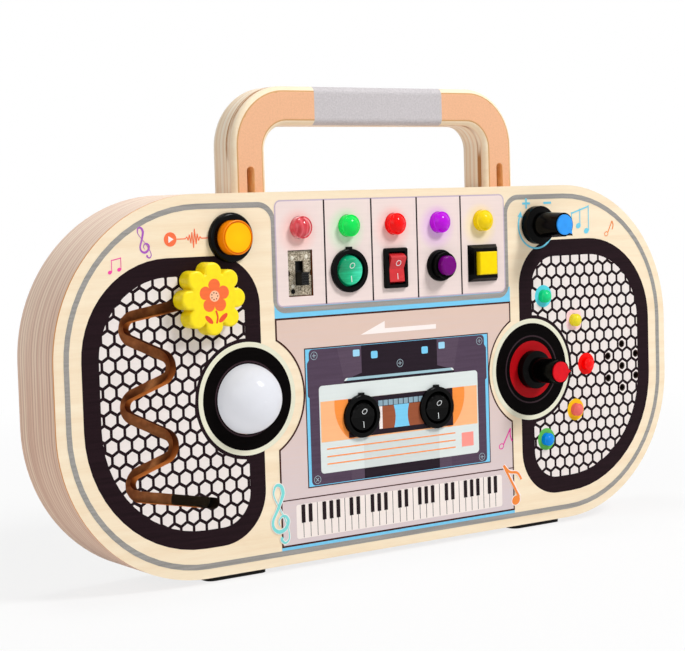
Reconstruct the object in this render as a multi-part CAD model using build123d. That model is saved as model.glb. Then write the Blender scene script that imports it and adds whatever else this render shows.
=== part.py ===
from build123d import *
import math
import os

# Busy board shaped like a portable stereo: a hollow plywood case with a carrying handle,
# real switches, buttons, lamps and knobs on the front, and a wavy track for a sliding block.
# Millimetres. X runs to the right, Z up, and the front faces -Y. The origin is on the floor,
# under the middle of the whole board.

# Case
body_width = 281.0
body_height = 134.0
body_depth = 28.0
side_straight = 22.0
front_thickness = 4.0
back_thickness = 4.0
rim_wall = 6.0
foot_width = 25.0
foot_depth = 22.0
foot_height = 2.0
foot_corner = 3.0
foot_spread = 166.0
overrun = 1.0
fit_gap = 0.1
slide_gap = 0.3
shaft_gap = 0.05

# Screws of the back, in bosses on the corners of the rim
boss_radius = 5.5
boss_inset = 9.0
upper_boss_angles = (10.0, 70.0)
lower_boss_angles = (-70.0,)
screw_radius = 1.5
screw_length = 14.0
screw_head_radius = 3.0
screw_head_height = 1.6

# Handle
handle_span = 129.5
handle_rise = 38.0
handle_thickness = 15.0
handle_leg = 14.0
handle_bar = 14.0
handle_outer_radius = 22.0
handle_inner_radius = 9.0
handle_edge = 2.5
tenon_width = 10.0
tenon_thickness = 9.0
relief_width = 3.2
relief_height = 9.3

# Rows of the front: the dials below the middle of the case, the others below its top
dial_drop = 5.5
lamp_drop = 12.9
switch_drop = 29.3
play_drop = 15.5
hub_lift = 1.3

# Columns of the front, as shares of half the width of the case
dial_share = 0.4712
cell_pitch_share = 0.1502
hub_share = 0.1246
play_share = 0.5082
volume_share = 0.4975
speaker_share = 0.8235
grille_share = 0.6797

# Lamps
lamp_radius = 4.0
lamp_shoulder = 2.6
small_lamp_radius = 2.5
small_lamp_shoulder = 2.0
small_lamp_margin = 3.4
lamp_step = 38.0
lamp_flange = 0.6
lamp_flange_thickness = 1.0
lead_size = 0.6
lead_length = 7.0
lead_pitch = 2.54

# Dome of the left dial
dome_radius = 12.4
dome_height = 12.0
dome_wall = 1.2
dome_lip = 1.6
dome_lip_thickness = 1.4
lamp_board_thickness = 1.6

# Sound holes and loudspeaker
sound_hole_radius = 1.25
sound_hole_pitch = 9.05
sound_hole_count = 6
speaker_drop = 2.4
speaker_radius = 13.5
speaker_rim_thickness = 1.2
speaker_cone_radius = 11.6
speaker_cone_depth = 3.0
speaker_neck_radius = 5.0
speaker_wall = 0.8
speaker_magnet_radius = 7.0
speaker_magnet_height = 4.0

# Track of the sliding block
grille_margin = 9.5
grille_margin_high = 16.4
track_point_shares = ((0.183, 0.359), (-0.413, 0.293), (0.087, 0.130), (-0.369, 0.019),
                      (0.085, -0.140), (-0.441, -0.261), (0.200, -0.349))
track_bend = 4.4
track_width = 4.0
channel_width = 7.2
channel_depth = 2.6
channel_floor = 2.4
release_length = 10.0
backing_edge = 3.1
backing_corner = 14.0

# Sliding block
block_radius = 9.2
block_lobe_radius = 3.4
block_lobe_count = 8
block_thickness = 6.6
block_edge = 0.9
block_gap = 0.4
stem_radius = 1.7
stem_bore_depth = 4.0
retainer_radius = 3.2
retainer_thickness = 1.6

# Play button
play_bezel_radius = 8.75
play_bezel_height = 2.2
play_bezel_edge = 1.2
play_sleeve_radius = 7.9
play_sleeve_depth = 15.0
play_cap_radius = 6.05
play_cap_reach = 5.8
play_cap_tail = 4.0
play_travel = 2.4
play_stop_gap = 1.0
play_face_radius = 5.2
play_face_groove = 0.5
play_groove_depth = 0.5
play_cap_edge = 0.4
play_nut_radius = 9.2
play_nut_height = 3.0

# Slide switch
slide_frame_width = 10.0
slide_frame_height = 16.0
slide_recess = 0.6
slide_sheet = 0.6
slide_window_width = 3.6
slide_window_height = 8.8
slide_notch = 1.0
slide_knob_width = 3.2
slide_knob_height = 4.6
slide_knob_reach = 3.3
slide_foot_width = 5.4
slide_foot_height = 5.6
slide_foot_thickness = 0.9
slide_travel = 3.8
slide_rib_count = 5
slide_rib_depth = 0.4
slide_rib_share = 0.5
slide_flange = 1.6
slide_flange_thickness = 1.5
slide_body_depth = 4.5

# Rocker switches
rocker_bezel_height = 1.8
rocker_bezel_edge = 0.6
rocker_pivot_depth = 1.2
rocker_pin_radius = 0.7
rocker_pin_engagement = 0.8
rocker_valley = 1.3
rocker_slope = 14.0
rocker_tilt = 9.0
rocker_back = 3.4
rocker_body_depth = 12.0
rocker_cavity_floor = 1.4
round_bezel_radius = 8.0
round_sleeve_radius = 7.4
round_window_radius = 6.2
round_tab_width = 2.2
round_tab_height = 0.7
flat_bezel_width = 10.5
flat_bezel_height = 15.0
flat_bezel_corner = 0.8
flat_sleeve_width = 9.2
flat_sleeve_height = 13.6
flat_window_width = 7.4
flat_window_height = 12.2

# Terminals at the back of the switches
blade_width = 2.6
blade_thickness = 0.6
blade_length = 4.0
blade_pitch = 4.4

# Round push button
push_flange_radius = 6.0
push_flange_height = 2.2
push_collar_radius = 4.9
push_collar_height = 2.2
push_sleeve_radius = 5.0
push_sleeve_depth = 10.0
push_cap_radius = 3.7
push_cap_reach = 6.6
push_cap_tail = 0.5
push_travel = 2.2
push_stop_gap = 0.4
push_edge = 0.8
push_nut_radius = 7.0
push_nut_height = 2.4

# Square push button
square_bezel = 14.4
square_bezel_front = 11.6
square_bezel_height = 2.5
square_sleeve = 12.2
square_sleeve_depth = 11.0
square_cap = 8.8
square_cap_reach = 4.4
square_cap_tail = 2.0
square_travel = 1.8
square_stop_gap = 0.8
square_edge = 0.6

# Knobs
knob_gap = 0.5
knob_height = 17.0
knob_skirt_radius = 7.5
knob_skirt_height = 3.0
knob_shoulder = 0.8
knob_base_radius = 5.1
knob_top_radius = 4.65
knob_pointer_reach = 6.2
knob_pointer_width = 3.0
knob_cavity_radius = 6.4
knob_cavity_height = 3.0
knob_bore_depth = 9.0
knob_bore_gap = 0.03
knob_cap_radius = 3.95
knob_cap_reach = 5.2
knob_cap_thickness = 1.2
knob_cap_proud = 0.6
shaft_radius = 3.0
bushing_radius = 3.5
bushing_reach = 2.9
knob_nut_size = 10.0
knob_nut_height = 2.2
shaft_tail = 5.0
selector_body_radius = 12.0
selector_body_depth = 10.0
volume_body_radius = 8.0
volume_body_depth = 9.0
volume_rest_angle = -45.0

# Batteries and sound board
cell_radius = 5.25
cell_length = 44.5
cell_nub_radius = 1.9
cell_nub_length = 1.0
cell_row_count = 3
cell_gap = 0.3
tray_length = 52.0
tray_wall = 1.6
tray_end = 1.5
tray_flange_thickness = 3.0
tray_flange_width = 72.0
tray_lift = 0.5
door_width = 62.0
door_corner = 3.0
door_screw_inset = 2.8
door_screw_length = 6.0
board_width = 36.0
board_height = 24.0
board_thickness = 1.6
chip_size = 9.0
chip_height = 2.0

knob_reach = knob_gap + knob_height
front_y = (knob_reach - body_depth) / 2
body_mid = foot_height + body_height / 2
body_top = foot_height + body_height
half_width = body_width / 2
corner_radius = (body_height - side_straight) / 2
dial_z = body_mid - dial_drop
lamp_z = body_top - lamp_drop
switch_z = body_top - switch_drop
play_z = body_top - play_drop
dial_side = half_width * dial_share
cell_pitch = half_width * cell_pitch_share
hub_side = half_width * hub_share
play_side = half_width * play_share
volume_side = half_width * volume_share
speaker_side = half_width * speaker_share
grille_side = half_width * grille_share
grille_width = 2 * (half_width - grille_margin - grille_side)
grille_height = body_height - 2 * grille_margin_high
small_lamp_clear = speaker_radius + small_lamp_radius + lamp_flange + small_lamp_margin
small_lamp_circle = speaker_side - small_lamp_clear - dial_side
rim_back = body_depth - back_thickness
inner_depth = rim_back - front_thickness
handle_front = (body_depth - handle_thickness) / 2


def spot(x, z):
    # A place on the front face: local x to the right, local y up, local z out of the face.
    return Plane(origin=(x, front_y, z), x_dir=(1, 0, 0), z_dir=(0, -1, 0))


def slab(sketch, low, high):
    return Pos(0, 0, low) * extrude(sketch, high - low)


def disc(radius, low, high):
    return slab(Circle(radius), low, high)


def block(width, height, low, high):
    return slab(Rectangle(width, height), low, high)


def round_front(shape, radius):
    return fillet(shape.faces().sort_by(Axis.Z)[-1].edges(), radius)


def body_outline(inset):
    return RectangleRounded(body_width - 2 * inset, body_height - 2 * inset, corner_radius - inset)


def save(name, shape):
    export_step(shape, f"parts/{name}.step")


def cell_x(column):
    return column * cell_pitch


def boss_places():
    reach = corner_radius - boss_inset
    corner_x = body_width / 2 - corner_radius
    corner_y = body_height / 2 - corner_radius
    places = []
    for side in (-1, 1):
        for angle in upper_boss_angles + lower_boss_angles:
            turn = math.radians(angle)
            level = corner_y if angle > 0 else -corner_y
            across = corner_x + reach * math.cos(turn)
            places.append((side * across, level + reach * math.sin(turn)))
    return places


def track_line():
    points = [(across * grille_width, up * grille_height) for across, up in track_point_shares]
    return FilletPolyline(*points, radius=track_bend)


def track_start():
    across, up = track_point_shares[0]
    return -grille_side + across * grille_width, dial_z + up * grille_height


def small_lamp_places():
    places = []
    for step in range(-2, 3):
        turn = math.radians(step * lamp_step)
        across = dial_side + small_lamp_circle * math.cos(turn)
        places.append((across, dial_z + small_lamp_circle * math.sin(turn)))
    return places


# Case

def make_front_panel():
    panel = spot(0, body_mid) * slab(body_outline(0), -front_thickness, 0)

    def hole(x, z, sketch):
        return spot(x, z) * slab(sketch, -front_thickness - overrun, overrun)

    lamp_hole = Circle(lamp_radius + fit_gap)
    small_lamp_hole = Circle(small_lamp_radius + fit_gap)
    round_hole = Circle(round_sleeve_radius + fit_gap)
    bushing_hole = Circle(bushing_radius + fit_gap)
    cuts = [hole(cell_x(column), lamp_z, lamp_hole) for column in range(-2, 3)]
    cuts += [hole(x, z, small_lamp_hole) for x, z in small_lamp_places()]
    cuts.append(hole(cell_x(-2), switch_z, Rectangle(slide_frame_width + 2 * slide_gap,
                                                     slide_frame_height + 2 * slide_gap)))
    cuts.append(hole(cell_x(-1), switch_z, round_hole))
    cuts.append(hole(cell_x(0), switch_z, Rectangle(flat_sleeve_width + 2 * fit_gap,
                                                    flat_sleeve_height + 2 * fit_gap)))
    cuts.append(hole(cell_x(1), switch_z, Circle(push_sleeve_radius + fit_gap)))
    cuts.append(hole(cell_x(2), switch_z, Rectangle(square_sleeve + 2 * fit_gap, square_sleeve + 2 * fit_gap)))
    for side in (-1, 1):
        cuts.append(hole(side * hub_side, hub_z(), round_hole))
    cuts.append(hole(-play_side, play_z, Circle(play_sleeve_radius + fit_gap)))
    cuts.append(hole(volume_side, play_z, bushing_hole))
    cuts.append(hole(dial_side, dial_z, bushing_hole))
    cuts.append(hole(-dial_side, dial_z, Circle(dome_radius + fit_gap)))
    cuts.append(hole(-grille_side, dial_z, SlotArc(track_line(), track_width)))
    speaker_z = dial_z - speaker_drop
    cuts.append(hole(speaker_side, speaker_z, Circle(sound_hole_radius)))
    for index in range(sound_hole_count):
        turn = math.pi / 2 + 2 * math.pi * index / sound_hole_count
        cuts.append(hole(speaker_side + sound_hole_pitch * math.cos(turn),
                         speaker_z + sound_hole_pitch * math.sin(turn), Circle(sound_hole_radius)))
    return panel - cuts


def tenon_block(gap):
    reach = rim_wall + (overrun if gap else 0)
    middle = -handle_front - handle_thickness / 2
    half = tenon_thickness / 2 + gap
    return Pos(0, -reach / 2, 0) * block(tenon_width + 2 * gap, reach, middle - half, middle + half)


def handle_leg_x(side):
    return side * (handle_span - handle_leg) / 2


def make_rim():
    ring = body_outline(0) - body_outline(rim_wall)
    for x, y in boss_places():
        ring += Pos(x, y) * Circle(boss_radius)
    rim = spot(0, body_mid) * slab(ring, -rim_back, -front_thickness)
    pilot = disc(screw_radius + shaft_gap, -rim_back - overrun, -rim_back + screw_length - back_thickness + overrun)
    for x, y in boss_places():
        rim -= spot(x, body_mid + y) * pilot
    for side in (-1, 1):
        rim -= spot(handle_leg_x(side), body_top) * tenon_block(fit_gap)
    return rim


def screw(length):
    # Countersunk screw whose head lies in the plane z = 0 and whose shank runs to +z.
    head = Pos(0, 0, screw_head_height / 2) * Cone(screw_head_radius, screw_radius, screw_head_height)
    return head + disc(screw_radius, screw_head_height, length)


def screw_hole(depth):
    # Countersunk hole from the plane z = 0 to +z, with the same sizes as the screw.
    cone_wide = screw_head_radius + fit_gap
    sink = Pos(0, 0, screw_head_height / 2) * Cone(cone_wide, screw_radius + fit_gap, screw_head_height)
    return sink + disc(screw_radius + fit_gap, 0, depth + overrun)


def door_height():
    return cell_row_count * (2 * cell_radius + cell_gap)


def tray_height():
    return door_height() + 2 * tray_wall


def tray_z():
    return foot_height + rim_wall + tray_lift + tray_height() / 2


def hub_z():
    return tray_z() + tray_height() / 2 + hub_lift + round_sleeve_radius


def make_back_panel():
    panel = spot(0, body_mid) * slab(body_outline(0), -body_depth, -rim_back)
    for x, y in boss_places():
        panel -= spot(x, body_mid + y) * Pos(0, 0, -body_depth) * screw_hole(back_thickness)
    opening = RectangleRounded(door_width + 2 * slide_gap, door_height() + 2 * slide_gap, door_corner)
    return panel - spot(0, tray_z()) * slab(opening, -body_depth - overrun, -rim_back + overrun)


def make_back_screws():
    return Compound([spot(x, body_mid + y) * Pos(0, 0, -body_depth) * screw(screw_length)
                     for x, y in boss_places()])


def make_foot(side):
    pad = extrude(RectangleRounded(foot_width, foot_depth, foot_corner), foot_height)
    return Pos(side * (foot_spread - foot_width) / 2, front_y + body_depth / 2, 0) * pad


def make_handle():
    outer = Pos(0, handle_rise / 2) * Rectangle(handle_span, handle_rise)
    outer = fillet(outer.vertices().group_by(Axis.Y)[-1], handle_outer_radius)
    gap_height = handle_rise - handle_bar
    inner = Pos(0, gap_height / 2) * Rectangle(handle_span - 2 * handle_leg, gap_height)
    inner = fillet(inner.vertices().group_by(Axis.Y)[-1], handle_inner_radius)
    board = slab(outer - inner, -handle_front - handle_thickness, -handle_front)
    faces = board.faces().filter_by(Axis.Z)
    edges = [edge for face in faces for edge in face.edges() if edge.center().Y > fit_gap]
    board = fillet(edges, handle_edge)
    relief = Pos(0, relief_height / 2 - rim_wall / 2 - relief_width / 4) * Rectangle(
        relief_width, relief_height + rim_wall - relief_width / 2)
    relief += Pos(0, relief_height - relief_width / 2) * Circle(relief_width / 2)
    for side in (-1, 1):
        board += Pos(handle_leg_x(side), 0, 0) * tenon_block(0)
    for side in (-1, 1):
        board -= Pos(handle_leg_x(side), 0, 0) * slab(relief, -body_depth, 0)
    return spot(0, body_top) * board


# Track and sliding block

def make_track_backing():
    bottom = -front_thickness - channel_depth - channel_floor
    run = track_line().bounding_box()
    edge = channel_width + 2 * backing_edge
    outline = RectangleRounded(run.size.X + edge, run.size.Y + edge, backing_corner)
    board = slab(Pos(run.center().X, run.center().Y) * outline, bottom, -front_thickness)
    board -= slab(SlotArc(track_line(), channel_width), -front_thickness - channel_depth,
                  -front_thickness + overrun)
    across, up = track_point_shares[-1]
    before_across, before_up = track_point_shares[-2]
    end = Vector(across * grille_width, up * grille_height)
    back = Vector(before_across * grille_width, before_up * grille_height) - end
    release = Line(end, end + back.normalized() * release_length)
    board -= slab(SlotArc(release, channel_width), bottom - overrun, 0)
    dome_side = grille_side - dial_side
    board -= Pos(dome_side, 0) * disc(dome_radius + dome_lip + slide_gap, bottom - overrun, 0)
    return spot(-grille_side, dial_z) * board


def make_sliding_block():
    outline = Circle(block_radius)
    for index in range(block_lobe_count):
        turn = 2 * math.pi * index / block_lobe_count
        outline += Pos(block_radius * math.cos(turn), block_radius * math.sin(turn)) * Circle(block_lobe_radius)
    shape = slab(outline, block_gap, block_gap + block_thickness)
    shape = round_front(shape, block_edge)
    shape -= disc(stem_radius + shaft_gap, 0, block_gap + stem_bore_depth + slide_gap)
    return spot(*track_start()) * shape


def make_slider_stem():
    top = -front_thickness - slide_gap
    stem = disc(stem_radius, top, block_gap + stem_bore_depth)
    return spot(*track_start()) * (stem + disc(retainer_radius, top - retainer_thickness, top))


# Lamps and dome

def make_lamp(x, z, radius, shoulder):
    back = -front_thickness
    lamp = disc(radius, back, shoulder) + Pos(0, 0, shoulder) * Sphere(radius, arc_size1=0)
    lamp += disc(radius + lamp_flange, back - lamp_flange_thickness, back)
    for side in (-1, 1):
        root = back - lamp_flange_thickness
        lamp += Pos(side * lead_pitch / 2, 0, 0) * block(lead_size, lead_size, root - lead_length, root)
    return spot(x, z) * lamp


def make_dome():
    def cap(radius, height):
        ball = (radius ** 2 + height ** 2) / (2 * height)
        return Pos(0, 0, height - ball) * Sphere(ball) & disc(radius, 0, height)

    lip_back = -front_thickness - dome_lip_thickness
    inner = dome_radius - dome_wall
    dome = cap(dome_radius, dome_height) + disc(dome_radius, -front_thickness, 0)
    dome += disc(dome_radius + dome_lip, lip_back, -front_thickness)
    dome -= cap(inner, dome_height - dome_wall) + disc(inner, lip_back - overrun, 0)
    return spot(-dial_side, dial_z) * dome


def make_dome_lamp_board():
    top = -front_thickness - dome_lip_thickness
    board = disc(dome_radius + dome_lip, top - lamp_board_thickness, top)
    board += disc(small_lamp_radius, top, top + small_lamp_radius)
    board += Pos(0, 0, top + small_lamp_radius) * Sphere(small_lamp_radius, arc_size1=0)
    return spot(-dial_side, dial_z) * board


def make_speaker():
    top = -front_thickness
    bottom = top - speaker_rim_thickness - speaker_cone_depth
    drop = speaker_rim_thickness + speaker_cone_depth
    bowl = Pos(0, 0, bottom + drop / 2) * Cone(speaker_neck_radius + speaker_wall,
                                               speaker_cone_radius + speaker_wall, drop)
    hollow = Pos(0, 0, bottom + drop / 2 + speaker_wall) * Cone(speaker_neck_radius, speaker_cone_radius, drop)
    speaker = disc(speaker_radius, top - speaker_rim_thickness, top) + bowl - hollow
    speaker += disc(speaker_magnet_radius, bottom - speaker_magnet_height, bottom)
    return spot(speaker_side, dial_z - speaker_drop) * speaker


# Buttons and switches

def terminals(count, top):
    blades = []
    for index in range(count):
        shift = (index - (count - 1) / 2) * blade_pitch
        blades.append(Pos(0, shift, 0) * block(blade_width, blade_thickness, top - blade_length, top))
    return blades


def ring_nut(radius, bore, height):
    return disc(radius, -front_thickness - height, -front_thickness) - disc(
        bore + fit_gap, -front_thickness - height - overrun, 0)


def make_play_button():
    place = spot(-play_side, play_z)
    bezel = round_front(disc(play_bezel_radius, 0, play_bezel_height), play_bezel_edge)
    body = bezel + disc(play_sleeve_radius, -play_sleeve_depth, 0)
    bore_floor = -play_cap_tail - play_travel - play_stop_gap
    body -= disc(play_cap_radius + slide_gap, bore_floor, play_bezel_height + overrun)
    body += terminals(2, -play_sleeve_depth)
    cap = disc(play_cap_radius, -play_cap_tail, play_cap_reach)
    cap = round_front(cap, play_cap_edge)
    groove = Circle(play_face_radius + play_face_groove) - Circle(play_face_radius)
    cap -= slab(groove, play_cap_reach - play_groove_depth, play_cap_reach + overrun)
    nut = ring_nut(play_nut_radius, play_sleeve_radius, play_nut_height)
    return place * body, place * nut, place * cap


def make_slide_switch():
    place = spot(cell_x(-2), switch_z)
    sheet_back = -slide_recess - slide_sheet
    frame = block(slide_frame_width, slide_frame_height, -front_thickness, -slide_recess)
    inner_width = slide_frame_width - 2 * slide_sheet
    inner_height = slide_frame_height - 2 * slide_sheet
    frame -= block(inner_width, inner_height, -front_thickness - overrun, sheet_back)
    frame -= block(slide_window_width, slide_window_height, sheet_back - overrun, 0)
    for side in (-1, 1):
        frame -= Pos(side * slide_frame_width / 2, 0, 0) * disc(slide_notch, sheet_back, 0)
    foot_top = sheet_back - slide_gap
    foot_back = foot_top - slide_foot_thickness
    base = block(inner_width - 2 * fit_gap, inner_height - 2 * fit_gap, -front_thickness, sheet_back)
    base += block(slide_frame_width + 2 * slide_flange, slide_frame_height + 2 * slide_flange,
                  -front_thickness - slide_flange_thickness, -front_thickness)
    body_back = -front_thickness - slide_flange_thickness - slide_body_depth
    base += block(inner_width, inner_height, body_back, -front_thickness - slide_flange_thickness)
    base -= block(slide_foot_width + 2 * slide_gap, slide_foot_height + slide_travel + 2 * slide_gap,
                  foot_back - slide_gap, 0)
    base += terminals(3, body_back)
    knob = block(slide_foot_width, slide_foot_height, foot_back, foot_top)
    knob += block(slide_knob_width, slide_knob_height, foot_top, slide_knob_reach)
    rib_pitch = slide_knob_height / slide_rib_count
    for index in range(1, slide_rib_count):
        level = -slide_knob_height / 2 + index * rib_pitch
        knob -= Pos(0, level, 0) * block(slide_knob_width + overrun, rib_pitch * slide_rib_share,
                                         slide_knob_reach - slide_rib_depth, slide_knob_reach + overrun)
    knob = Pos(0, -slide_travel / 2, 0) * knob
    return place * frame, place * base, place * knob


def rocker_pair(place, bezel, sleeve, window, swing, pin_half):
    # swing is the moving piece before its front is shaped, centred on the pivot.
    housing = round_front(slab(bezel, 0, rocker_bezel_height), rocker_bezel_edge)
    housing += slab(sleeve, -rocker_body_depth, 0)
    floor = -rocker_body_depth + rocker_cavity_floor
    housing -= slab(window, floor, rocker_bezel_height + overrun)
    pin_hole = Rot(0, 90, 0) * Cylinder(rocker_pin_radius + shaft_gap, 2 * pin_half + 2 * fit_gap)
    housing -= Pos(0, 0, -rocker_pivot_depth) * pin_hole
    housing += terminals(2, -rocker_body_depth)
    reach = 2 * round_bezel_radius
    rise = reach * math.tan(math.radians(rocker_slope))
    valley = rocker_valley + rocker_pivot_depth
    roof = Polyline((0, valley), (reach, valley + rise), (reach, valley + rise + reach),
                    (-reach, valley + rise + reach), (-reach, valley + rise), close=True)
    moving = swing - extrude(Plane.YZ * make_face(roof), reach, both=True)
    moving -= block(2 * reach, 2 * reach, -reach, -rocker_back)
    moving += Rot(0, 90, 0) * Cylinder(rocker_pin_radius, 2 * pin_half)
    moving = Pos(0, 0, -rocker_pivot_depth) * Rot(rocker_tilt, 0, 0) * moving
    return place * housing, place * moving


def make_round_rocker(x, z):
    bezel = Circle(round_bezel_radius)
    tab_rise = round_bezel_radius + round_tab_height / 2
    bezel += Pos(0, tab_rise - round_tab_height / 2) * Rectangle(round_tab_width, round_tab_height * 2)
    swing = Sphere(round_window_radius - slide_gap)
    pin_half = round_window_radius + rocker_pin_engagement
    return rocker_pair(spot(x, z), bezel, Circle(round_sleeve_radius), Circle(round_window_radius),
                       swing, pin_half)


def make_flat_rocker(x, z):
    bezel = RectangleRounded(flat_bezel_width, flat_bezel_height, flat_bezel_corner)
    sleeve = Rectangle(flat_sleeve_width, flat_sleeve_height)
    window = Rectangle(flat_window_width, flat_window_height)
    swing = Rot(0, 90, 0) * Cylinder(flat_window_height / 2 - slide_gap, flat_window_width - 2 * slide_gap)
    pin_half = flat_window_width / 2 + rocker_pin_engagement
    return rocker_pair(spot(x, z), bezel, sleeve, window, swing, pin_half)


def make_push_button():
    place = spot(cell_x(1), switch_z)
    front = push_flange_height + push_collar_height
    body = round_front(disc(push_flange_radius, 0, push_flange_height), push_edge)
    body += disc(push_collar_radius, 0, front) + disc(push_sleeve_radius, -push_sleeve_depth, 0)
    body -= disc(push_cap_radius + slide_gap, -push_cap_tail - push_travel - push_stop_gap, front + overrun)
    body += terminals(2, -push_sleeve_depth)
    cap = round_front(disc(push_cap_radius, -push_cap_tail, push_cap_reach), push_edge)
    nut = ring_nut(push_nut_radius, push_sleeve_radius, push_nut_height)
    return place * body, place * nut, place * cap


def make_square_button():
    place = spot(cell_x(2), switch_z)
    bezel = loft([Rectangle(square_bezel, square_bezel).face(),
                  (Pos(0, 0, square_bezel_height) * Rectangle(square_bezel_front, square_bezel_front)).face()])
    housing = bezel + block(square_sleeve, square_sleeve, -square_sleeve_depth, 0)
    window = square_cap + 2 * slide_gap
    housing -= block(window, window, -square_cap_tail - square_travel - square_stop_gap,
                     square_bezel_height + overrun)
    housing += terminals(2, -square_sleeve_depth)
    cap = round_front(block(square_cap, square_cap, -square_cap_tail, square_cap_reach), square_edge)
    return place * housing, place * cap


# Knobs

def pointer_sketch(radius, reach, half_width):
    tip = Polyline((0, half_width), (reach, 0), (0, -half_width), close=True)
    return Circle(radius) + make_face(tip)


def make_knob(x, z, angle, body_radius, body_depth_inside):
    place = spot(x, z)
    body_back = -front_thickness - body_depth_inside
    body = disc(body_radius, body_back, -front_thickness)
    body += disc(bushing_radius, -front_thickness, bushing_reach)
    shaft_back = -front_thickness - shaft_tail
    body -= disc(shaft_radius + shaft_gap, shaft_back - slide_gap, bushing_reach + overrun)
    body += [Pos(0, -body_radius + blade_width, 0) * blade for blade in terminals(1, body_back)]
    nut = slab(RegularPolygon(knob_nut_size / 2, 6, major_radius=False), 0, knob_nut_height)
    nut -= disc(bushing_radius + fit_gap, -overrun, knob_nut_height + overrun)
    shaft_top = knob_gap + knob_cavity_height + knob_bore_depth
    shaft = disc(shaft_radius, shaft_back, shaft_top)
    skirt_top = knob_gap + knob_skirt_height
    top = knob_gap + knob_height - knob_cap_proud
    knob = disc(knob_skirt_radius, knob_gap, skirt_top)
    knob += Pos(0, 0, skirt_top + knob_shoulder / 2) * Cone(knob_skirt_radius, knob_base_radius, knob_shoulder)
    knob += Pos(0, 0, (skirt_top + top) / 2) * Cone(knob_base_radius, knob_top_radius, top - skirt_top)
    ridge = pointer_sketch(knob_pointer_width, knob_pointer_reach, knob_pointer_width)
    knob += slab(ridge, skirt_top, top)
    cap_sketch = pointer_sketch(knob_cap_radius, knob_cap_reach, knob_pointer_width)
    cap_back = knob_gap + knob_height - knob_cap_thickness
    knob -= slab(cap_sketch, cap_back, top + overrun)
    knob -= disc(knob_cavity_radius, knob_gap - overrun, knob_gap + knob_cavity_height)
    knob -= disc(shaft_radius + knob_bore_gap, 0, shaft_top)
    cap = slab(cap_sketch, cap_back, knob_gap + knob_height)
    turn = Rot(0, 0, angle)
    return place * body, place * nut, place * shaft, place * turn * knob, place * turn * cap


# Inside

def make_battery_holder():
    back = -rim_back
    height = tray_height()
    depth = 2 * cell_radius + cell_gap + tray_wall
    holder = block(tray_length + 2 * tray_end, height, back, back + depth)
    holder += block(tray_flange_width, height, back, back + tray_flange_thickness)
    holder -= block(tray_length, door_height(), back - overrun, back + depth - tray_wall)
    hole_x = door_width / 2 - door_screw_inset
    holder -= Pos(hole_x, 0, 0) * disc(screw_radius + shaft_gap, back - overrun, back + tray_flange_thickness
                                       + overrun)
    return spot(0, tray_z()) * holder


def make_batteries():
    axis_level = -rim_back + cell_radius
    cells = []
    for row in range(cell_row_count):
        side = 1 if row % 2 == 0 else -1
        level = (row - (cell_row_count - 1) / 2) * (2 * cell_radius + cell_gap)
        cell = Cylinder(cell_radius, cell_length)
        cell += Pos(0, 0, cell_length / 2 + cell_nub_length / 2) * Cylinder(cell_nub_radius, cell_nub_length)
        cells.append(spot(0, tray_z()) * Pos(0, level, axis_level) * Rot(0, side * 90, 0) * cell)
    return Compound(cells)


def make_battery_door():
    outline = RectangleRounded(door_width, door_height(), door_corner)
    door = slab(outline, -body_depth, -rim_back)
    hole = Pos(door_width / 2 - door_screw_inset, 0, -body_depth) * screw_hole(back_thickness)
    return spot(0, tray_z()) * (door - hole)


def make_door_screw():
    hole_x = door_width / 2 - door_screw_inset
    return spot(0, tray_z()) * Pos(hole_x, 0, -body_depth) * screw(door_screw_length)


def make_sound_board():
    back = -rim_back
    board = block(board_width, board_height, back, back + board_thickness)
    board += block(chip_size, chip_size, back + board_thickness, back + board_thickness + chip_height)
    return spot(dial_side, tray_z()) * board


os.makedirs("parts", exist_ok=True)

save("front_panel", make_front_panel())
save("rim", make_rim())
save("back_panel", make_back_panel())
save("back_screws", make_back_screws())
save("handle", make_handle())
save("foot_left", make_foot(-1))
save("foot_right", make_foot(1))

save("track_backing", make_track_backing())
save("sliding_block", make_sliding_block())
save("slider_stem", make_slider_stem())

for column, colour in enumerate(("clear", "green", "red", "purple", "yellow")):
    save(f"top_lamp_{colour}", make_lamp(cell_x(column - 2), lamp_z, lamp_radius, lamp_shoulder))
for place, colour in zip(small_lamp_places(), ("blue", "pink", "red", "yellow", "green")):
    save(f"dial_lamp_{colour}", make_lamp(*place, small_lamp_radius, small_lamp_shoulder))
save("dome_diffuser", make_dome())
save("dome_lamp_board", make_dome_lamp_board())
save("speaker", make_speaker())

for part, shape in zip(("body", "nut", "cap"), make_play_button()):
    save(f"play_button_{part}", shape)
for part, shape in zip(("frame", "base", "knob"), make_slide_switch()):
    save(f"slide_switch_{part}", shape)
rockers = {
    "green_rocker": make_round_rocker(cell_x(-1), switch_z),
    "red_rocker": make_flat_rocker(cell_x(0), switch_z),
    "left_hub_rocker": make_round_rocker(-hub_side, hub_z()),
    "right_hub_rocker": make_round_rocker(hub_side, hub_z()),
}
for name, (housing, moving) in rockers.items():
    save(f"{name}_housing", housing)
    save(name, moving)
for part, shape in zip(("body", "nut", "cap"), make_push_button()):
    save(f"purple_button_{part}", shape)
for part, shape in zip(("housing", "cap"), make_square_button()):
    save(f"yellow_button_{part}", shape)

knob_parts = ("body", "nut", "shaft", "knob", "knob_cap")
selector = make_knob(dial_side, dial_z, 0, selector_body_radius, selector_body_depth)
volume = make_knob(volume_side, play_z, volume_rest_angle, volume_body_radius, volume_body_depth)
for part, shape in zip(knob_parts, selector):
    save(f"selector_{part}", shape)
for part, shape in zip(knob_parts, volume):
    save(f"volume_{part}", shape)

save("battery_holder", make_battery_holder())
save("batteries", make_batteries())
save("battery_door", make_battery_door())
save("battery_door_screw", make_door_screw())
save("sound_board", make_sound_board())
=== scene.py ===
import math

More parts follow.
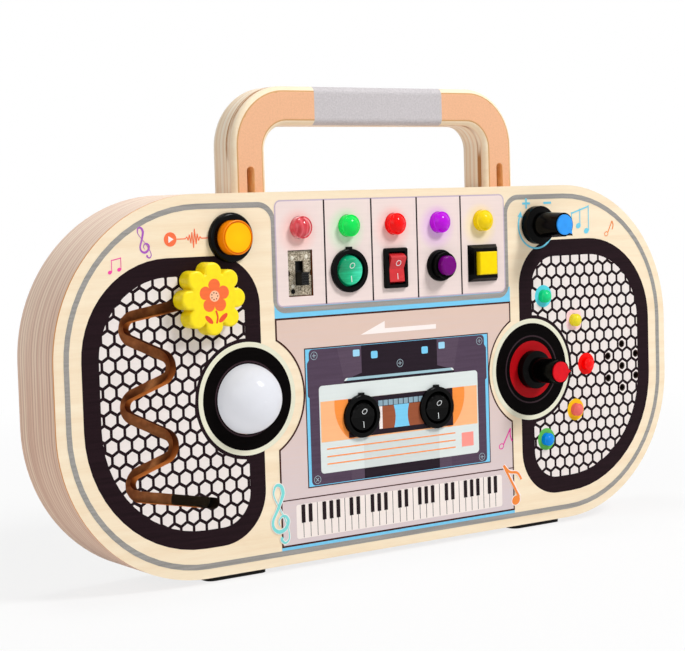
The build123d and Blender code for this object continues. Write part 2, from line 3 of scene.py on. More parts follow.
import bmesh
import bpy
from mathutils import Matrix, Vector


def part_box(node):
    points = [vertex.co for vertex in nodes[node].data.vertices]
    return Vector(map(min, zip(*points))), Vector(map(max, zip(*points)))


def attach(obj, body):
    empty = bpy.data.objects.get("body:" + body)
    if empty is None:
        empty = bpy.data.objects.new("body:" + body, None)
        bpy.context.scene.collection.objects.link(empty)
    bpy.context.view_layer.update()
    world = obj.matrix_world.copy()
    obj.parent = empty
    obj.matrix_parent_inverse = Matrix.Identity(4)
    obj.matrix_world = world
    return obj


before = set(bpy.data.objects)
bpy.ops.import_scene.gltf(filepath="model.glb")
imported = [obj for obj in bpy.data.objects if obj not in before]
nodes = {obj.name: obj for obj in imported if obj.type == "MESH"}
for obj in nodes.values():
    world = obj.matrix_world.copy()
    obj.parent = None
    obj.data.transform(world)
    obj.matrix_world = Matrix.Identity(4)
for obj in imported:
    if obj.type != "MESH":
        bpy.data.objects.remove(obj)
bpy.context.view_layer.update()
mm = 0.001

panelLow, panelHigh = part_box("front_panel")
frontY = panelLow.y  # the printed face of the board
halfWidth = panelHigh.x / mm
cornerX = 84.5  # centres of the round corners of the case
cornerRadius = halfWidth - cornerX


def middle(node):
    low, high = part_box(node)
    return (low + high) / 2


dialZ = middle("dome_diffuser").z  # the prints are measured from the row of the two dials
dialX = middle("selector_shaft").x / mm
caseTop = (panelHigh.z - dialZ) / mm
caseBottom = (panelLow.z - dialZ) / mm
print("frame loaded:", len(nodes), "nodes")


# drawing on the front, in millimetres
def onFront(x, z, lift):
    return Vector((x * mm, frontY - lift * mm, dialZ + z * mm))


def onPrint(node):  # the middle of a node, as a place on the print
    centre = middle(node)
    return centre.x / mm, (centre.z - dialZ) / mm


def frontOf(node):  # places on the front of a node, measured from its middle
    low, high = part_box(node)
    centre = (low + high) / 2

    def place(x, z, lift):
        return Vector((centre.x + x * mm, low.y - lift * mm, centre.z + z * mm))
    return place


def turned(across, up, tilt):
    cosine, sine = math.cos(tilt), math.sin(tilt)
    return Vector((across * cosine - up * sine, across * sine + up * cosine))


def arc(x, z, radius, start, end, count=24):
    turns = [math.radians(start + (end - start) * step / count) for step in range(count + 1)]
    return [Vector((x + radius * math.cos(turn), z + radius * math.sin(turn))) for turn in turns]


def circle(x, z, radius, count=72):
    return arc(x, z, radius, 0, 360, count)[:-1]


def oval(x, z, wide, high, tilt, count=28):
    turns = [math.tau * step / count for step in range(count)]
    return [Vector((x, z)) + turned(wide * math.cos(turn), high * math.sin(turn), tilt) for turn in turns]


def polygon(*places):
    return [Vector(place) for place in places]


def corners(shape, steps=10):  # points of (x, z, radius), each corner rounded
    points = []
    for index, (x, z, radius) in enumerate(shape):
        here = Vector((x, z))
        if radius == 0:
            points.append(here)
            continue
        back = (Vector(shape[index - 1][:2]) - here).normalized()
        ahead = (Vector(shape[(index + 1) % len(shape)][:2]) - here).normalized()
        half = back.angle(ahead) / 2
        centre = here + (back + ahead).normalized() * radius / math.sin(half)
        first = here + back * radius / math.tan(half) - centre
        last = here + ahead * radius / math.tan(half) - centre
        start = math.atan2(first.y, first.x)
        turn = (math.atan2(last.y, last.x) - start + math.pi) % math.tau - math.pi
        for step in range(steps + 1):
            angle = start + turn * step / steps
            points.append(centre + Vector((math.cos(angle), math.sin(angle))) * radius)
    return points


def rectangle(left, low, right, high, radius=0.0):
    places = ((left, low), (right, low), (right, high), (left, high))
    return corners([(x, z, radius) for x, z in places], 6)


def area(piece):
    return rectangle(piece["left"], piece["low"], piece["right"], piece["high"], piece.get("bend", 0.0))


def column(x, width, low, high, radius=0.0):
    return rectangle(x - width / 2, low, x + width / 2, high, radius)


def cross(x, z, long, bar, tilt=0.0):  # a plus sign as one outline
    quarter = ((long, -bar), (long, bar), (bar, bar))
    tilts = [tilt + math.pi / 2 * step for step in range(4)]
    return [Vector((x, z)) + turned(a, b, angle) for angle in tilts for a, b in quarter]


def grown(points, distance, sharpest=0.4):  # the closed outline moved out by distance
    moved = []
    for index, here in enumerate(points):
        before = (here - points[index - 1]).normalized()
        after = (points[(index + 1) % len(points)] - here).normalized()
        side = Vector((before.y, -before.x))
        out = (side + Vector((after.y, -after.x))).normalized()
        moved.append(here + out * distance / max(out.dot(side), sharpest))
    return moved


def smooth(points, steps=5):  # a curve through given points
    line = []
    last = len(points) - 1
    for index in range(last):
        a, b = Vector(points[max(index - 1, 0)]), Vector(points[index])
        c, d = Vector(points[index + 1]), Vector(points[min(index + 2, last)])
        for step in range(steps):
            t = step / steps
            line.append(0.5 * (2 * b + (c - a) * t + (2 * a - 5 * b + 4 * c - d) * t * t
                               + (3 * b - a - 3 * c + d) * t ** 3))
    line.append(Vector(points[last]))
    return line


def edges(line, width):  # both sides of an open stroke
    left, right = [], []
    for index, here in enumerate(line):
        before = line[max(index - 1, 0)]
        after = line[min(index + 1, len(line) - 1)]
        along = (Vector(after[:2]) - Vector(before[:2])).normalized()
        weight = here[2] if len(here) == 3 else 1.0
        side = Vector((-along.y, along.x)) * width * weight / 2
        left.append(Vector(here[:2]) + side)
        right.append(Vector(here[:2]) - side)
    return left, right


def addPlate(bm, points, place, low, high):
    front = [bm.verts.new(place(x, z, high)) for x, z in points]
    back = [bm.verts.new(place(x, z, low)) for x, z in points]
    bm.faces.new(front)
    bm.faces.new(list(reversed(back)))
    for index in range(len(points)):
        after = (index + 1) % len(points)
        bm.faces.new((front[index], back[index], back[after], front[after]))


# rise keeps a stroke clear of itself where it crosses
def addBand(bm, left, right, place, low, high, closed, rise=0.0):
    count = len(left)
    rings = [[bm.verts.new(place(x, z, lift + rise * step / count)) for step, (x, z) in enumerate(side)]
             for side, lift in ((left, high), (right, high), (right, low), (left, low))]
    for index in range(count if closed else count - 1):
        after = (index + 1) % count
        for ring, following in zip(rings, rings[1:] + rings[:1]):
            bm.faces.new((ring[index], following[index], following[after], ring[after]))
    if not closed:
        bm.faces.new([ring[0] for ring in rings])
        bm.faces.new([ring[-1] for ring in reversed(rings)])


def addObject(name, data):
    thing = bpy.data.objects.new(name, data)
    bpy.context.scene.collection.objects.link(thing)
    return thing


def newPiece(name, bm, material, body, rounded=False):
    bmesh.ops.recalc_face_normals(bm, faces=bm.faces)
    mesh = bpy.data.meshes.new(name)
    bm.to_mesh(mesh)
    bm.free()
    piece = addObject(name, mesh)
    mesh.materials.append(material)
    for face in mesh.polygons:
        face.use_smooth = rounded
    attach(piece, body)
    return piece


# a copy of the panel, moved forward, gives the prints the openings of the panel
cutter = dict(shift=1.5 * mm, weld=1e-6)
cutterMesh = nodes["front_panel"].data.copy()
welded = bmesh.new()
welded.from_mesh(cutterMesh)
bmesh.ops.remove_doubles(welded, verts=welded.verts, dist=cutter["weld"])
bmesh.ops.translate(welded, verts=welded.verts, vec=(0, -cutter["shift"], 0))
welded.to_mesh(cutterMesh)
welded.free()
openings = addObject("openings", cutterMesh)


def keepOpenings(piece):
    step = piece.modifiers.new("openings", "BOOLEAN")
    step.object = openings
    step.operation = "INTERSECT"
    step.solver = "EXACT"
    depsgraph = bpy.context.evaluated_depsgraph_get()
    piece.data = bpy.data.meshes.new_from_object(piece.evaluated_get(depsgraph))
    piece.modifiers.clear()


inkStep = 0.04  # thickness of a layer of print, mm
strokeStep = inkStep / 16  # each stroke of a print lies a little higher than the one before it
strokeRise = inkStep / 2
inks = {}


def printed(name, level, inkName, plates=(), bands=(), strokes=()):
    bm = bmesh.new()
    low, high = (level - 1) * inkStep, level * inkStep
    for points in plates:
        addPlate(bm, points, onFront, low, high)
    for outer, inner in bands:
        addBand(bm, outer, inner, onFront, low, high, True)
    for index, (line, width) in enumerate(strokes, 1):
        addBand(bm, *edges(line, width), onFront, low, high + index * strokeStep, False, strokeRise)
    return newPiece(name, bm, inks[inkName], "housing")


def pierced(*layout, **more):  # a print with the openings of the panel
    keepOpenings(printed(*layout, **more))


# colours and node helpers
def tint(red, green, blue):
    parts = [part / 255 for part in (red, green, blue)]
    linear = [part / 12.92 if part < 0.04045 else ((part + 0.055) / 1.055) ** 2.4 for part in parts]
    return (*linear, 1.0)


def scaled(colour, share):
    return tuple(min(1.0, part * share) for part in colour[:3]) + (1.0,)


def grey(level):
    return (level, level, level, 1.0)


class Signal:  # an output of a node, open to plain arithmetic
    def __init__(self, socket):
        self.socket = socket
        self.tree = socket.id_data

    def calc(self, operation, other=0.0):
        node = self.tree.nodes.new("ShaderNodeMath")
        node.operation = operation
        feed(self, node.inputs[0])
        feed(other, node.inputs[1])
        return Signal(node.outputs["Value"])

    def __add__(self, other):
        return self.calc("ADD", other)

    def __sub__(self, other):
        return self.calc("SUBTRACT", other)

    def __mul__(self, other):
        return self.calc("MULTIPLY", other)

    def __truediv__(self, other):
        return self.calc("DIVIDE", other)

    def __lt__(self, other):
        return self.calc("LESS_THAN", other)

    def __gt__(self, other):
        return self.calc("GREATER_THAN", other)

    def __abs__(self):
        return self.calc("ABSOLUTE")


def feed(value, socket):  # a signal is linked, a number or a colour is set on the socket
    if isinstance(value, Signal):
        value.tree.links.new(value.socket, socket)
    else:
        socket.default_value = value


def newNode(kind, inputs, tree):
    node = tree.nodes.new(kind)
    for socket, value in inputs.items():
        feed(value, node.inputs[socket])
    return node


def reach(x, z):
    return (x.calc("POWER", 2.0) + z.calc("POWER", 2.0)).calc("SQRT")


def newMaterial(name):
    material = bpy.data.materials.new(name)
    material.use_nodes = True
    return material, material.node_tree


patterns = {  # how fine a noise is along the three axes, per metre, and how detailed
    "inkGrain": (45, 900, 1100, 4.0), "inkDots": (2600, 2600, 2600, 1.0),
    "veneer": (16, 300, 330, 5.0), "pores": (220, 900, 2800, 2.0),
    "plies": (5, 1200, 5, 5.0), "plyStreaks": (60, 3000, 60, 4.0),
    "plyClouds": (16, 40, 16, 3.0), "plyWaves": (30, 150, 30, 2.0),
    "scorch": (240, 500, 240, 3.0), "soot": (900, 900, 900, 3.0),
    "handlePatches": (45, 300, 45, 3.0), "handleSpecks": (1500, 1500, 1500, 3.0),
    "plasticClouds": (500, 500, 500, 3.0), "plasticSkin": (4200, 4200, 4200, 2.0),
    "amberClouds": (300, 300, 300, 3.0), "amberSkin": (800, 800, 800, 3.0),
    "brushed": (90, 900, 2400, 4.0), "steelClouds": (420, 420, 420, 3.0),
    "platedSpecks": (1900, 1900, 1900, 4.0), "platedClouds": (240, 240, 240, 2.0),
    "lensClouds": (180, 180, 180, 2.0), "clearStreaks": (900, 120, 60, 2.0),
    "keyClouds": (260, 260, 900, 3.0),
}


def noise(tree, name):
    *stretch, detail = patterns[name]
    where = Signal(tree.nodes.new("ShaderNodeTexCoord").outputs["Object"])
    spread = newNode("ShaderNodeMapping", {"Vector": where, "Scale": stretch}, tree)
    pattern = {"Vector": Signal(spread.outputs["Vector"]), "Scale": 1.0, "Detail": detail}
    return Signal(newNode("ShaderNodeTexNoise", pattern, tree).outputs["Fac"])


def axes(tree, source, output):
    whole = Signal(tree.nodes.new(source).outputs[output])
    split = newNode("ShaderNodeSeparateXYZ", {"Vector": whole}, tree)
    return [Signal(split.outputs[axis]) for axis in "XYZ"]


def placeAxes(tree):
    return axes(tree, "ShaderNodeTexCoord", "Object")


def normalAxes(tree):
    return axes(tree, "ShaderNodeNewGeometry", "Normal")


def ramp(factor, *stops):
    node = newNode("ShaderNodeValToRGB", {"Fac": factor}, factor.tree)
    points = node.color_ramp.elements
    while len(points) < len(stops):
        points.new(0.5)
    for point, (position, colour) in zip(points, stops):
        point.position = position
        point.color = colour
    return Signal(node.outputs["Color"])


def twoTone(factor, dark, pale, low=0.3, high=0.7):
    return ramp(factor, (low, dark), (high, pale))


def mottled(factor, colour, share, *ends):  # a colour that turns darker and paler by a share
    return twoTone(factor, scaled(colour, 1 - share), scaled(colour, 1 + share), *ends)


def mix(first, second, share):
    return first * share + second * (1.0 - share)


def spreadOf(value, spread):
    return value - spread, value + spread


def blend(factor, first, second):
    node = factor.tree.nodes.new("ShaderNodeMix")
    node.data_type = "RGBA"
    for index, value in ((0, factor), (6, first), (7, second)):  # the sockets that mix colours
        feed(value, node.inputs[index])
    return Signal(node.outputs[2])


def mapped(factor, low, high, start=0.0, end=1.0):  # from start and end to low and high
    span = {"Value": factor, "From Min": start, "From Max": end, "To Min": low, "To Max": high}
    return Signal(newNode("ShaderNodeMapRange", span, factor.tree).outputs["Result"])


# rough is the lowest and highest roughness, relief the depth in mm and strength of the pattern or the skin
def paint(material, colours, pattern, rough, relief=None, skin=None, shine=0.5, glow=0.0, coat=0.0,
          coatRough=0.03, metal=0.0):
    values = {"Base Color": colours, "Roughness": mapped(pattern, *rough), "Specular IOR Level": shine,
              "Emission Strength": glow, "Coat Weight": coat, "Coat Roughness": coatRough, "Metallic": metal}
    if glow:
        values["Emission Color"] = colours
    if relief:
        depth, strength = relief
        dent = {"Height": skin or pattern, "Distance": depth * mm, "Strength": strength}
        values["Normal"] = Signal(newNode("ShaderNodeBump", dent, pattern.tree).outputs["Normal"])
    for socket, value in values.items():
        feed(value, material.node_tree.nodes["Principled BSDF"].inputs[socket])
    return material


# finishes
surfaces = {
    "ink": dict(rough=(0.42, 0.58), relief=(0.02, 0.25)),
    "plastic": dict(relief=(0.02, 0.2), coatRough=0.08),
    "panel": dict(rough=(0.4, 0.55), relief=(0.03, 0.3), shine=0.25),
    "board": dict(rough=(0.45, 0.6), relief=(0.04, 0.35), shine=0.25),
    "burnt": dict(rough=(0.6, 0.75)),
    "handle": dict(rough=(0.5, 0.62), relief=(0.08, 0.4), shine=0.25),
    # painted light: the amber cap glows faintly, which brightens it
    "amber": dict(rough=(0.18, 0.26), shine=0.1, glow=0.1, coat=0.08, coatRough=0.06),
    "steel": dict(rough=(0.28, 0.48), relief=(0.03, 0.3), metal=0.85),
    "plated": dict(rough=(0.35, 0.6), relief=(0.05, 0.5), metal=0.3),
    "clear": dict(rough=(0.08, 0.14), shine=0.2, glow=0.12, coat=0.4, coatRough=0.02),
    "greenKey": dict(rough=(0.14, 0.24), shine=0.2, glow=0.12, coat=0.1, coatRough=0.06),
}
inkLook = dict(grainShare=0.7, fadeShare=0.5, shine=0.1)
plasticLook = dict(ends=(0.35, 0.65), spread=0.05)
lensLook = dict(ends=(0.35, 0.65), spread=0.03, shine=0.06)


def ink(name, colour, grain, shine=inkLook["shine"]):  # the grain of the birch shows a little through
    material, tree = newMaterial(name)
    lines = noise(tree, "inkGrain")
    mixed = mix(lines, noise(tree, "inkDots"), inkLook["grainShare"])
    return paint(material, mottled(mixed, colour, grain), lines, shine=shine, **surfaces["ink"])


def addInks(**colours):  # red, green, blue, how far the grain shows and in some the shine
    for name, (red, green, blue, *look) in colours.items():
        inks[name] = ink(name, tint(red, green, blue), *look)


def fadedInk(name, lowColour, highColour, lowZ, highZ):  # one print colour turning into another up the board
    material, tree = newMaterial(name)
    lines = noise(tree, "inkGrain")
    share = (placeAxes(tree)[2] - (dialZ + lowZ * mm)) / ((highZ - lowZ) * mm)
    colours = twoTone(share + (lines - 0.5) * inkLook["fadeShare"], lowColour, highColour, 0.0, 1.0)
    return paint(material, colours, lines, shine=inkLook["shine"], **surfaces["ink"])


def plastic(name, colour, roughness=0.32, sparkle=0.05, coat=0.0, shine=0.3):
    material, tree = newMaterial(name)
    cloud = noise(tree, "plasticClouds")
    skin = noise(tree, "plasticSkin")
    colours = mottled(cloud, colour, sparkle, *plasticLook["ends"])
    rough = spreadOf(roughness, plasticLook["spread"])
    return paint(material, colours, cloud, rough, skin=skin, shine=shine, coat=coat, **surfaces["plastic"])


def lens(name, colour, glow, roughness=0.12, coat=0.22, cloud=0.1):  # tinted lens with its light on
    material, tree = newMaterial(name)
    depth = noise(tree, "lensClouds")
    colours = twoTone(depth, scaled(colour, 1 - cloud), colour, *lensLook["ends"])
    rough = spreadOf(roughness, lensLook["spread"])
    return paint(material, colours, depth, rough, shine=lensLook["shine"], glow=glow, coat=coat)


birch = dict(veneer=[(0.3, tint(239, 216, 183)), (0.5, tint(243, 224, 194)), (0.68, tint(246, 230, 202))],
             plies=[(0.34, tint(206, 158, 134)), (0.46, tint(236, 200, 176)), (0.57, tint(252, 228, 204)),
                    (0.7, tint(243, 224, 194))],
             walls=[(0.2, tint(70, 32, 14)), (0.5, tint(112, 58, 22)), (0.8, tint(216, 126, 58))],
             veneerShare=0.75, plyPitch=1.9, plyLine=tint(194, 142, 122), plyShare=0.5,
             plyTopLight=tint(246, 232, 216), topLightFade=((0.5, grey(0.0)), (0.95, grey(0.4))),
             plyLowShade=tint(202, 158, 130), lowShadeFade=((0.1, grey(0.35)), (0.6, grey(0.0))),
             edge=tint(226, 156, 92), edgeLine=0.9, outerEdge=1.5, charAndShade=tint(34, 22, 16),
             burnt=tint(222, 152, 88), burntDeep=tint(156, 92, 42), panelNormal=0.93, boardNormal=0.75)
plyMix = dict(layers=0.6, streaks=0.2, clouds=0.2, waves=0.7, lineEnd=0.9)


def birchColour(tree):  # face veneer with the grain along the board
    mixed = mix(noise(tree, "veneer"), noise(tree, "pores"), birch["veneerShare"])
    return ramp(mixed, *birch["veneer"]), mixed


def plyColour(tree, look, start):  # thin plies seen on the edge
    streak = noise(tree, "plyStreaks")
    mixed = noise(tree, "plies") * plyMix["layers"] + streak * plyMix["streaks"]
    mixed += noise(tree, "plyClouds") * plyMix["clouds"]
    _, depth, up = placeAxes(tree)
    turn = (depth - start) / (look["plyPitch"] * mm) + noise(tree, "plyWaves") * plyMix["waves"]
    lines = twoTone((turn * math.tau).calc("SINE"), grey(0.0), grey(look["plyShare"]), 0.0, plyMix["lineEnd"])
    plies = blend(lines, ramp(mixed, *look["plies"]), look["plyLine"])
    # painted light and shade: the plies are paler towards the top of the board and darker towards the bottom
    plies = blend(ramp(up / panelHigh.z, *birch["topLightFade"]), plies, birch["plyTopLight"])
    return blend(ramp(up / panelHigh.z, *birch["lowShadeFade"]), plies, birch["plyLowShade"]), streak


shadedTrackEnd = dict(rightOf=-86.0, under=-20.0)  # painted shade: the released end of the track is painted black, the dark of the hollow behind it


def inShadedTrackEnd(across, up):
    return (across > shadedTrackEnd["rightOf"] * mm) * (up < dialZ + shadedTrackEnd["under"] * mm)


def panelFinish():
    material, tree = newMaterial("printedPanel")
    face, mixed = birchColour(tree)
    across, depth, up = placeAxes(tree)
    _, normalY, normalZ = normalAxes(tree)
    # distance from the outline tells the outer edge from the walls of the openings
    radius = cornerRadius * mm
    halfHigh = (panelHigh.z - panelLow.z) / 2
    overX = (abs(across) - (panelHigh.x - radius)).calc("MAXIMUM")
    overZ = (abs(up - (panelLow.z + panelHigh.z) / 2) - (halfHigh - radius)).calc("MAXIMUM")
    outer = reach(overX, overZ) > radius - birch["outerEdge"] * mm
    rim = blend(depth < frontY + birch["edgeLine"] * mm, plyColour(tree, birch, frontY)[0], birch["edge"])
    # painted light and shade: the walls of the openings are paler where they face up and darker where they
    # face down
    litAndShadedWall = ramp(normalZ * 0.5 + 0.5, *birch["walls"])
    # painted shade, with the laser's char: the walls of the openings on the right half, the sound holes among
    # them, and the released end of the track are near black
    charAndShadeMask = (across > 0.0).calc("MAXIMUM", inShadedTrackEnd(across, up))
    walls = blend(outer, blend(charAndShadeMask, litAndShadedWall, birch["charAndShade"]), rim)
    colours = blend(abs(normalY) > birch["panelNormal"], walls, face)
    return paint(material, colours, mixed, **surfaces["panel"])


def boardFinish():  # birch faces and ply edges
    material, tree = newMaterial("birchPly")
    plies, streak = plyColour(tree, birch, frontY)
    colours = blend(abs(normalAxes(tree)[1]) > birch["boardNormal"], plies, birchColour(tree)[0])
    return paint(material, colours, streak, **surfaces["board"])


def burntFinish():
    material, tree = newMaterial("burntBirch")
    across, _, up = placeAxes(tree)
    brown = twoTone(noise(tree, "scorch"), birch["burntDeep"], birch["burnt"])
    # painted shade: the floor at the released end of the track is painted black
    colours = blend(inShadedTrackEnd(across, up), brown, birch["charAndShade"])
    return paint(material, colours, noise(tree, "soot"), **surfaces["burnt"])


handleLook = dict(plies=[(0.34, tint(232, 200, 158)), (0.46, tint(247, 227, 194)),
                         (0.57, tint(253, 244, 226)), (0.7, tint(250, 237, 212))],
                  plyPitch=2.4, plyLine=tint(228, 188, 140), plyShare=0.75, peach=tint(231, 177, 138),
                  peachGrain=0.05, band=tint(193, 188, 190), bandGrain=0.1, bandHalf=29.5, bandDepth=2.6,
                  leg=14.0, slotHalf=1.75, slotRise=9.4, slotPale=tint(255, 212, 150),
                  slotDeep=tint(244, 178, 110), scorch=tint(204, 156, 102), streak=tint(178, 124, 72),
                  streakFrom=2.7, streakTo=4.9, patchEnds=(0.42, 0.58), frontNormal=-0.985,
                  scorchNormal=-0.93, faceNormal=0.3, wallNormal=0.7)


def handleFinish():
    material, tree = newMaterial("handlePrint")
    look = handleLook
    low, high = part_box("handle")
    across, depth, up = placeAxes(tree)
    normalY = normalAxes(tree)[1]
    behind = depth - low.y
    plies, _ = plyColour(tree, look, low.y)
    patches = twoTone(noise(tree, "handlePatches"), grey(0.0), grey(1.0), *look["patchEnds"])
    inPly = (behind > look["streakFrom"] * mm) * (behind < look["streakTo"] * mm)
    plies = blend(inPly * patches, plies, look["streak"])
    colours = blend(abs(normalY) > look["faceNormal"], plies, birchColour(tree)[0])
    colours = blend(normalY < look["scorchNormal"], colours, look["scorch"])
    speck = noise(tree, "handleSpecks")
    colours = blend(normalY < look["frontNormal"], colours, mottled(speck, look["peach"], look["peachGrain"]))
    inBand = (abs(across) < look["bandHalf"] * mm) * (depth < low.y + look["bandDepth"] * mm)
    colours = blend(inBand, colours, mottled(speck, look["band"], look["bandGrain"]))
    inSlot = abs(abs(across) - (high.x - look["leg"] / 2 * mm)) < look["slotHalf"] * mm
    lowDown = up < panelHigh.z + look["slotRise"] * mm
    # painted light: the walls of the handle's slots are painted pale orange, standing in for the light on
    # them
    slotWall = inSlot * lowDown * (abs(normalY) < look["wallNormal"])
    colours = blend(slotWall, colours, twoTone(noise(tree, "scorch"), look["slotDeep"], look["slotPale"]))
    return paint(material, colours, speck, **surfaces["handle"])


amber = dict(radius=6.2, wobble=0.04, rings=[
    (0.0, tint(254, 190, 0)), (0.85, tint(250, 178, 0)), (0.89, tint(206, 92, 0)), (0.95, tint(242, 142, 12)),
    (1.0, tint(238, 130, 8))])


def amberFinish():  # a pale top inside a darker groove and rim
    material, tree = newMaterial("amberCap")
    centre = middle("play_button_cap")
    across, _, up = placeAxes(tree)
    share = reach(across - centre.x, up - centre.z) / (amber["radius"] * mm)
    colours = ramp(share + noise(tree, "amberClouds") * amber["wobble"], *amber["rings"])
    return paint(material, colours, noise(tree, "amberSkin"), **surfaces["amber"])


metalLook = dict(brushShare=0.5, brushEnds=(0.35, 0.65), speckShare=0.75, speckStops=(0.36, 0.48, 0.64))


def steelFinish(name, dark, pale):
    material, tree = newMaterial(name)
    brush = noise(tree, "brushed")
    mixed = mix(brush, noise(tree, "steelClouds"), metalLook["brushShare"])
    return paint(material, twoTone(mixed, dark, pale, *metalLook["brushEnds"]), brush, **surfaces["steel"])


def speckledFinish(name, *tones):  # dull plated steel with dark specks
    material, tree = newMaterial(name)
    speck = noise(tree, "platedSpecks")
    mixed = mix(speck, noise(tree, "platedClouds"), metalLook["speckShare"])
    return paint(material, ramp(mixed, *zip(metalLook["speckStops"], tones)), speck, **surfaces["plated"])


clear = dict(inside=[(0.35, tint(180, 34, 44)), (0.5, tint(204, 58, 68)), (0.66, tint(226, 104, 112))],
             rim=tint(250, 206, 208), rimSheenShare=0.35, rimSheenEnds=(0.35, 0.95))


def clearFinish():  # clear lens: the red chip shows inside; painted reflection: the rim, seen edge-on, is painted pale
    material, tree = newMaterial("clearLens")
    streaks = noise(tree, "clearStreaks")
    edge = newNode("ShaderNodeLayerWeight", {"Blend": clear["rimSheenShare"]}, tree)
    rimSheenShare = twoTone(Signal(edge.outputs["Facing"]), grey(0.0), grey(1.0), *clear["rimSheenEnds"])
    colours = blend(rimSheenShare, ramp(streaks, *clear["inside"]), clear["rim"])
    return paint(material, colours, streaks, **surfaces["clear"])


greenKey = dict(stops=[(0.2, tint(4, 112, 70)), (0.5, tint(18, 168, 116)), (0.8, tint(70, 216, 174))],
                linePitch=0.9, paintedLightShare=0.7, lineShare=0.1, cloudShare=0.3)


def greenKeyFinish():  # the key glows faintly and, as painted light, turns paler towards its right side; with the fine lines of the lens
    material, tree = newMaterial("greenKey")
    low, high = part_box("green_rocker")
    across, _, up = placeAxes(tree)
    lines = (up / (greenKey["linePitch"] * mm)).calc("PINGPONG", 0.5) * greenKey["lineShare"]
    cloud = noise(tree, "keyClouds")
    mixed = (across - low.x) / (high.x - low.x) * greenKey["paintedLightShare"] + lines
    colours = ramp(mixed + cloud * greenKey["cloudShare"], *greenKey["stops"])
    return paint(material, colours, cloud, **surfaces["greenKey"])


lenses = {  # colour, glow, and for the dome its roughness, coat and cloud
    "top_lamp_green": (tint(6, 206, 78), 0.3),
    "top_lamp_red": (tint(222, 2, 2), 0.3),
    "top_lamp_purple": (tint(172, 2, 200), 0.3),
    "top_lamp_yellow": (tint(228, 196, 0), 0.25),
    "dial_lamp_green": (tint(10, 196, 120), 0.28),
    "dial_lamp_yellow": (tint(220, 202, 36), 0.28),
    "dial_lamp_red": (tint(236, 2, 2), 0.35),
    "dial_lamp_pink": (tint(222, 100, 92), 0.28),
    "dial_lamp_blue": (tint(0, 124, 208), 0.28),
    "dome_diffuser": (tint(178, 179, 184), 0.75, 0.4, 0.25, 0.02),
}
plastics = {  # colour, roughness, sparkle, coat and shine
    "sliding_block": (tint(250, 224, 20), 0.38, 0.04),
    "dome_lamp_board": (tint(236, 236, 230),),
    "slide_switch_base": (tint(16, 13, 12), 0.5),
    "slide_switch_knob": (tint(8, 8, 8), 0.3, 0.1, 0.0, 0.25),
    "red_rocker": (tint(206, 40, 46), 0.26, 0.05, 0.3, 0.2),
    "purple_button_body": (tint(2, 2, 2), 0.4, 0.12, 0.0, 0.05),
    "purple_button_cap": (tint(114, 0, 120), 0.24, 0.05, 0.04, 0.1),
    "yellow_button_cap": (tint(248, 214, 0), 0.36, 0.03, 0.0, 0.12),
    "selector_knob_cap": (tint(216, 8, 26), 0.36, 0.05, 0.0, 0.15),
    "volume_knob_cap": (tint(44, 150, 240), 0.36, 0.05),
    "sound_board": (tint(30, 104, 66), 0.45),
    "batteries": (tint(70, 82, 96), 0.35),
}
black = plastic("blackSatin", tint(3, 3, 3), 0.26, 0.12, 0.1, 0.04)
shared = (
    (boardFinish(), ("rim", "back_panel", "battery_door")),
    (plastic("blackRubber", tint(22, 21, 21), 0.7, 0.15, 0.0, 0.2), ("foot_left", "foot_right")),
    (plastic("knobBlack", tint(2, 2, 2), 0.16, 0.12, 0.1, 0.02), ("selector_knob", "volume_knob")),
    (steelFinish("brass", tint(168, 128, 60), tint(214, 178, 104)), ("selector_shaft", "volume_shaft")),
    (steelFinish("brightSteel", tint(150, 146, 138), tint(206, 202, 194)),
     ("slider_stem", "back_screws", "battery_door_screw", "speaker", "selector_nut", "volume_nut",
      "selector_body", "volume_body")),
    (speckledFinish("switchSteel", tint(74, 64, 50), tint(150, 138, 116), tint(214, 204, 184)),
     ("slide_switch_frame",)),
)
finishes = {
    "front_panel": panelFinish(),
    "handle": handleFinish(),
    "track_backing": burntFinish(),
    "top_lamp_clear": clearFinish(),
    "play_button_cap": amberFinish(),
    "green_rocker": greenKeyFinish(),
}
finishes.update({node: lens(node, *look) for node, look in lenses.items()})
finishes.update({node: plastic(node, *look) for node, look in plastics.items()})
finishes.update({node: finish for finish, group in shared for node in group})
for name, node in nodes.items():
    for slot in node.material_slots:
        slot.material = finishes.get(name, black)
print("finishes on", len(nodes), "nodes")

# print of the front: wide areas first
greyRun = dict(inset=4.35, shift=0.25, half=0.95, left=-53.2, right=54.5, floor=30.2, shoulder=6.5,
               bend=4.0)
addInks(greyInk=(153, 150, 146, 0.2))
side = halfWidth - greyRun["inset"]
low, high = caseBottom + greyRun["inset"], caseTop - greyRun["inset"]
turn = cornerRadius - greyRun["inset"]
leftX, rightX = greyRun["shift"] - side, greyRun["shift"] + side
dipLeft, dipRight, floorZ = greyRun["left"], greyRun["right"], greyRun["floor"]
path = corners([(leftX, low, turn), (rightX, low, turn), (rightX, high, turn),
                (dipRight, high, greyRun["shoulder"]), (dipRight, floorZ, greyRun["bend"]),
                (dipLeft, floorZ, greyRun["bend"]), (dipLeft, high, greyRun["shoulder"]),
                (leftX, high, turn)], 16)
pierced("greyLine", 2, "greyInk", bands=[(grown(path, greyRun["half"]), grown(path, -greyRun["half"]))])

grille = dict(shift=0.4, inner=60.3, outer=130.8, half=50.85, innerBend=18.3, topBend=33.6, lowBend=45.2,
              frame=6.5, pitch=5.085, rise=4.543, white=0.785, ringGap=21.4, rows=24, smallest=0.8,
              starts={"left": (-94.94, 15.64), "right": (108.46, 2.1)})
addInks(grilleInk=(31, 17, 22, 0.3, 0.06), grilleWhite=(231, 222, 218, 0.03))


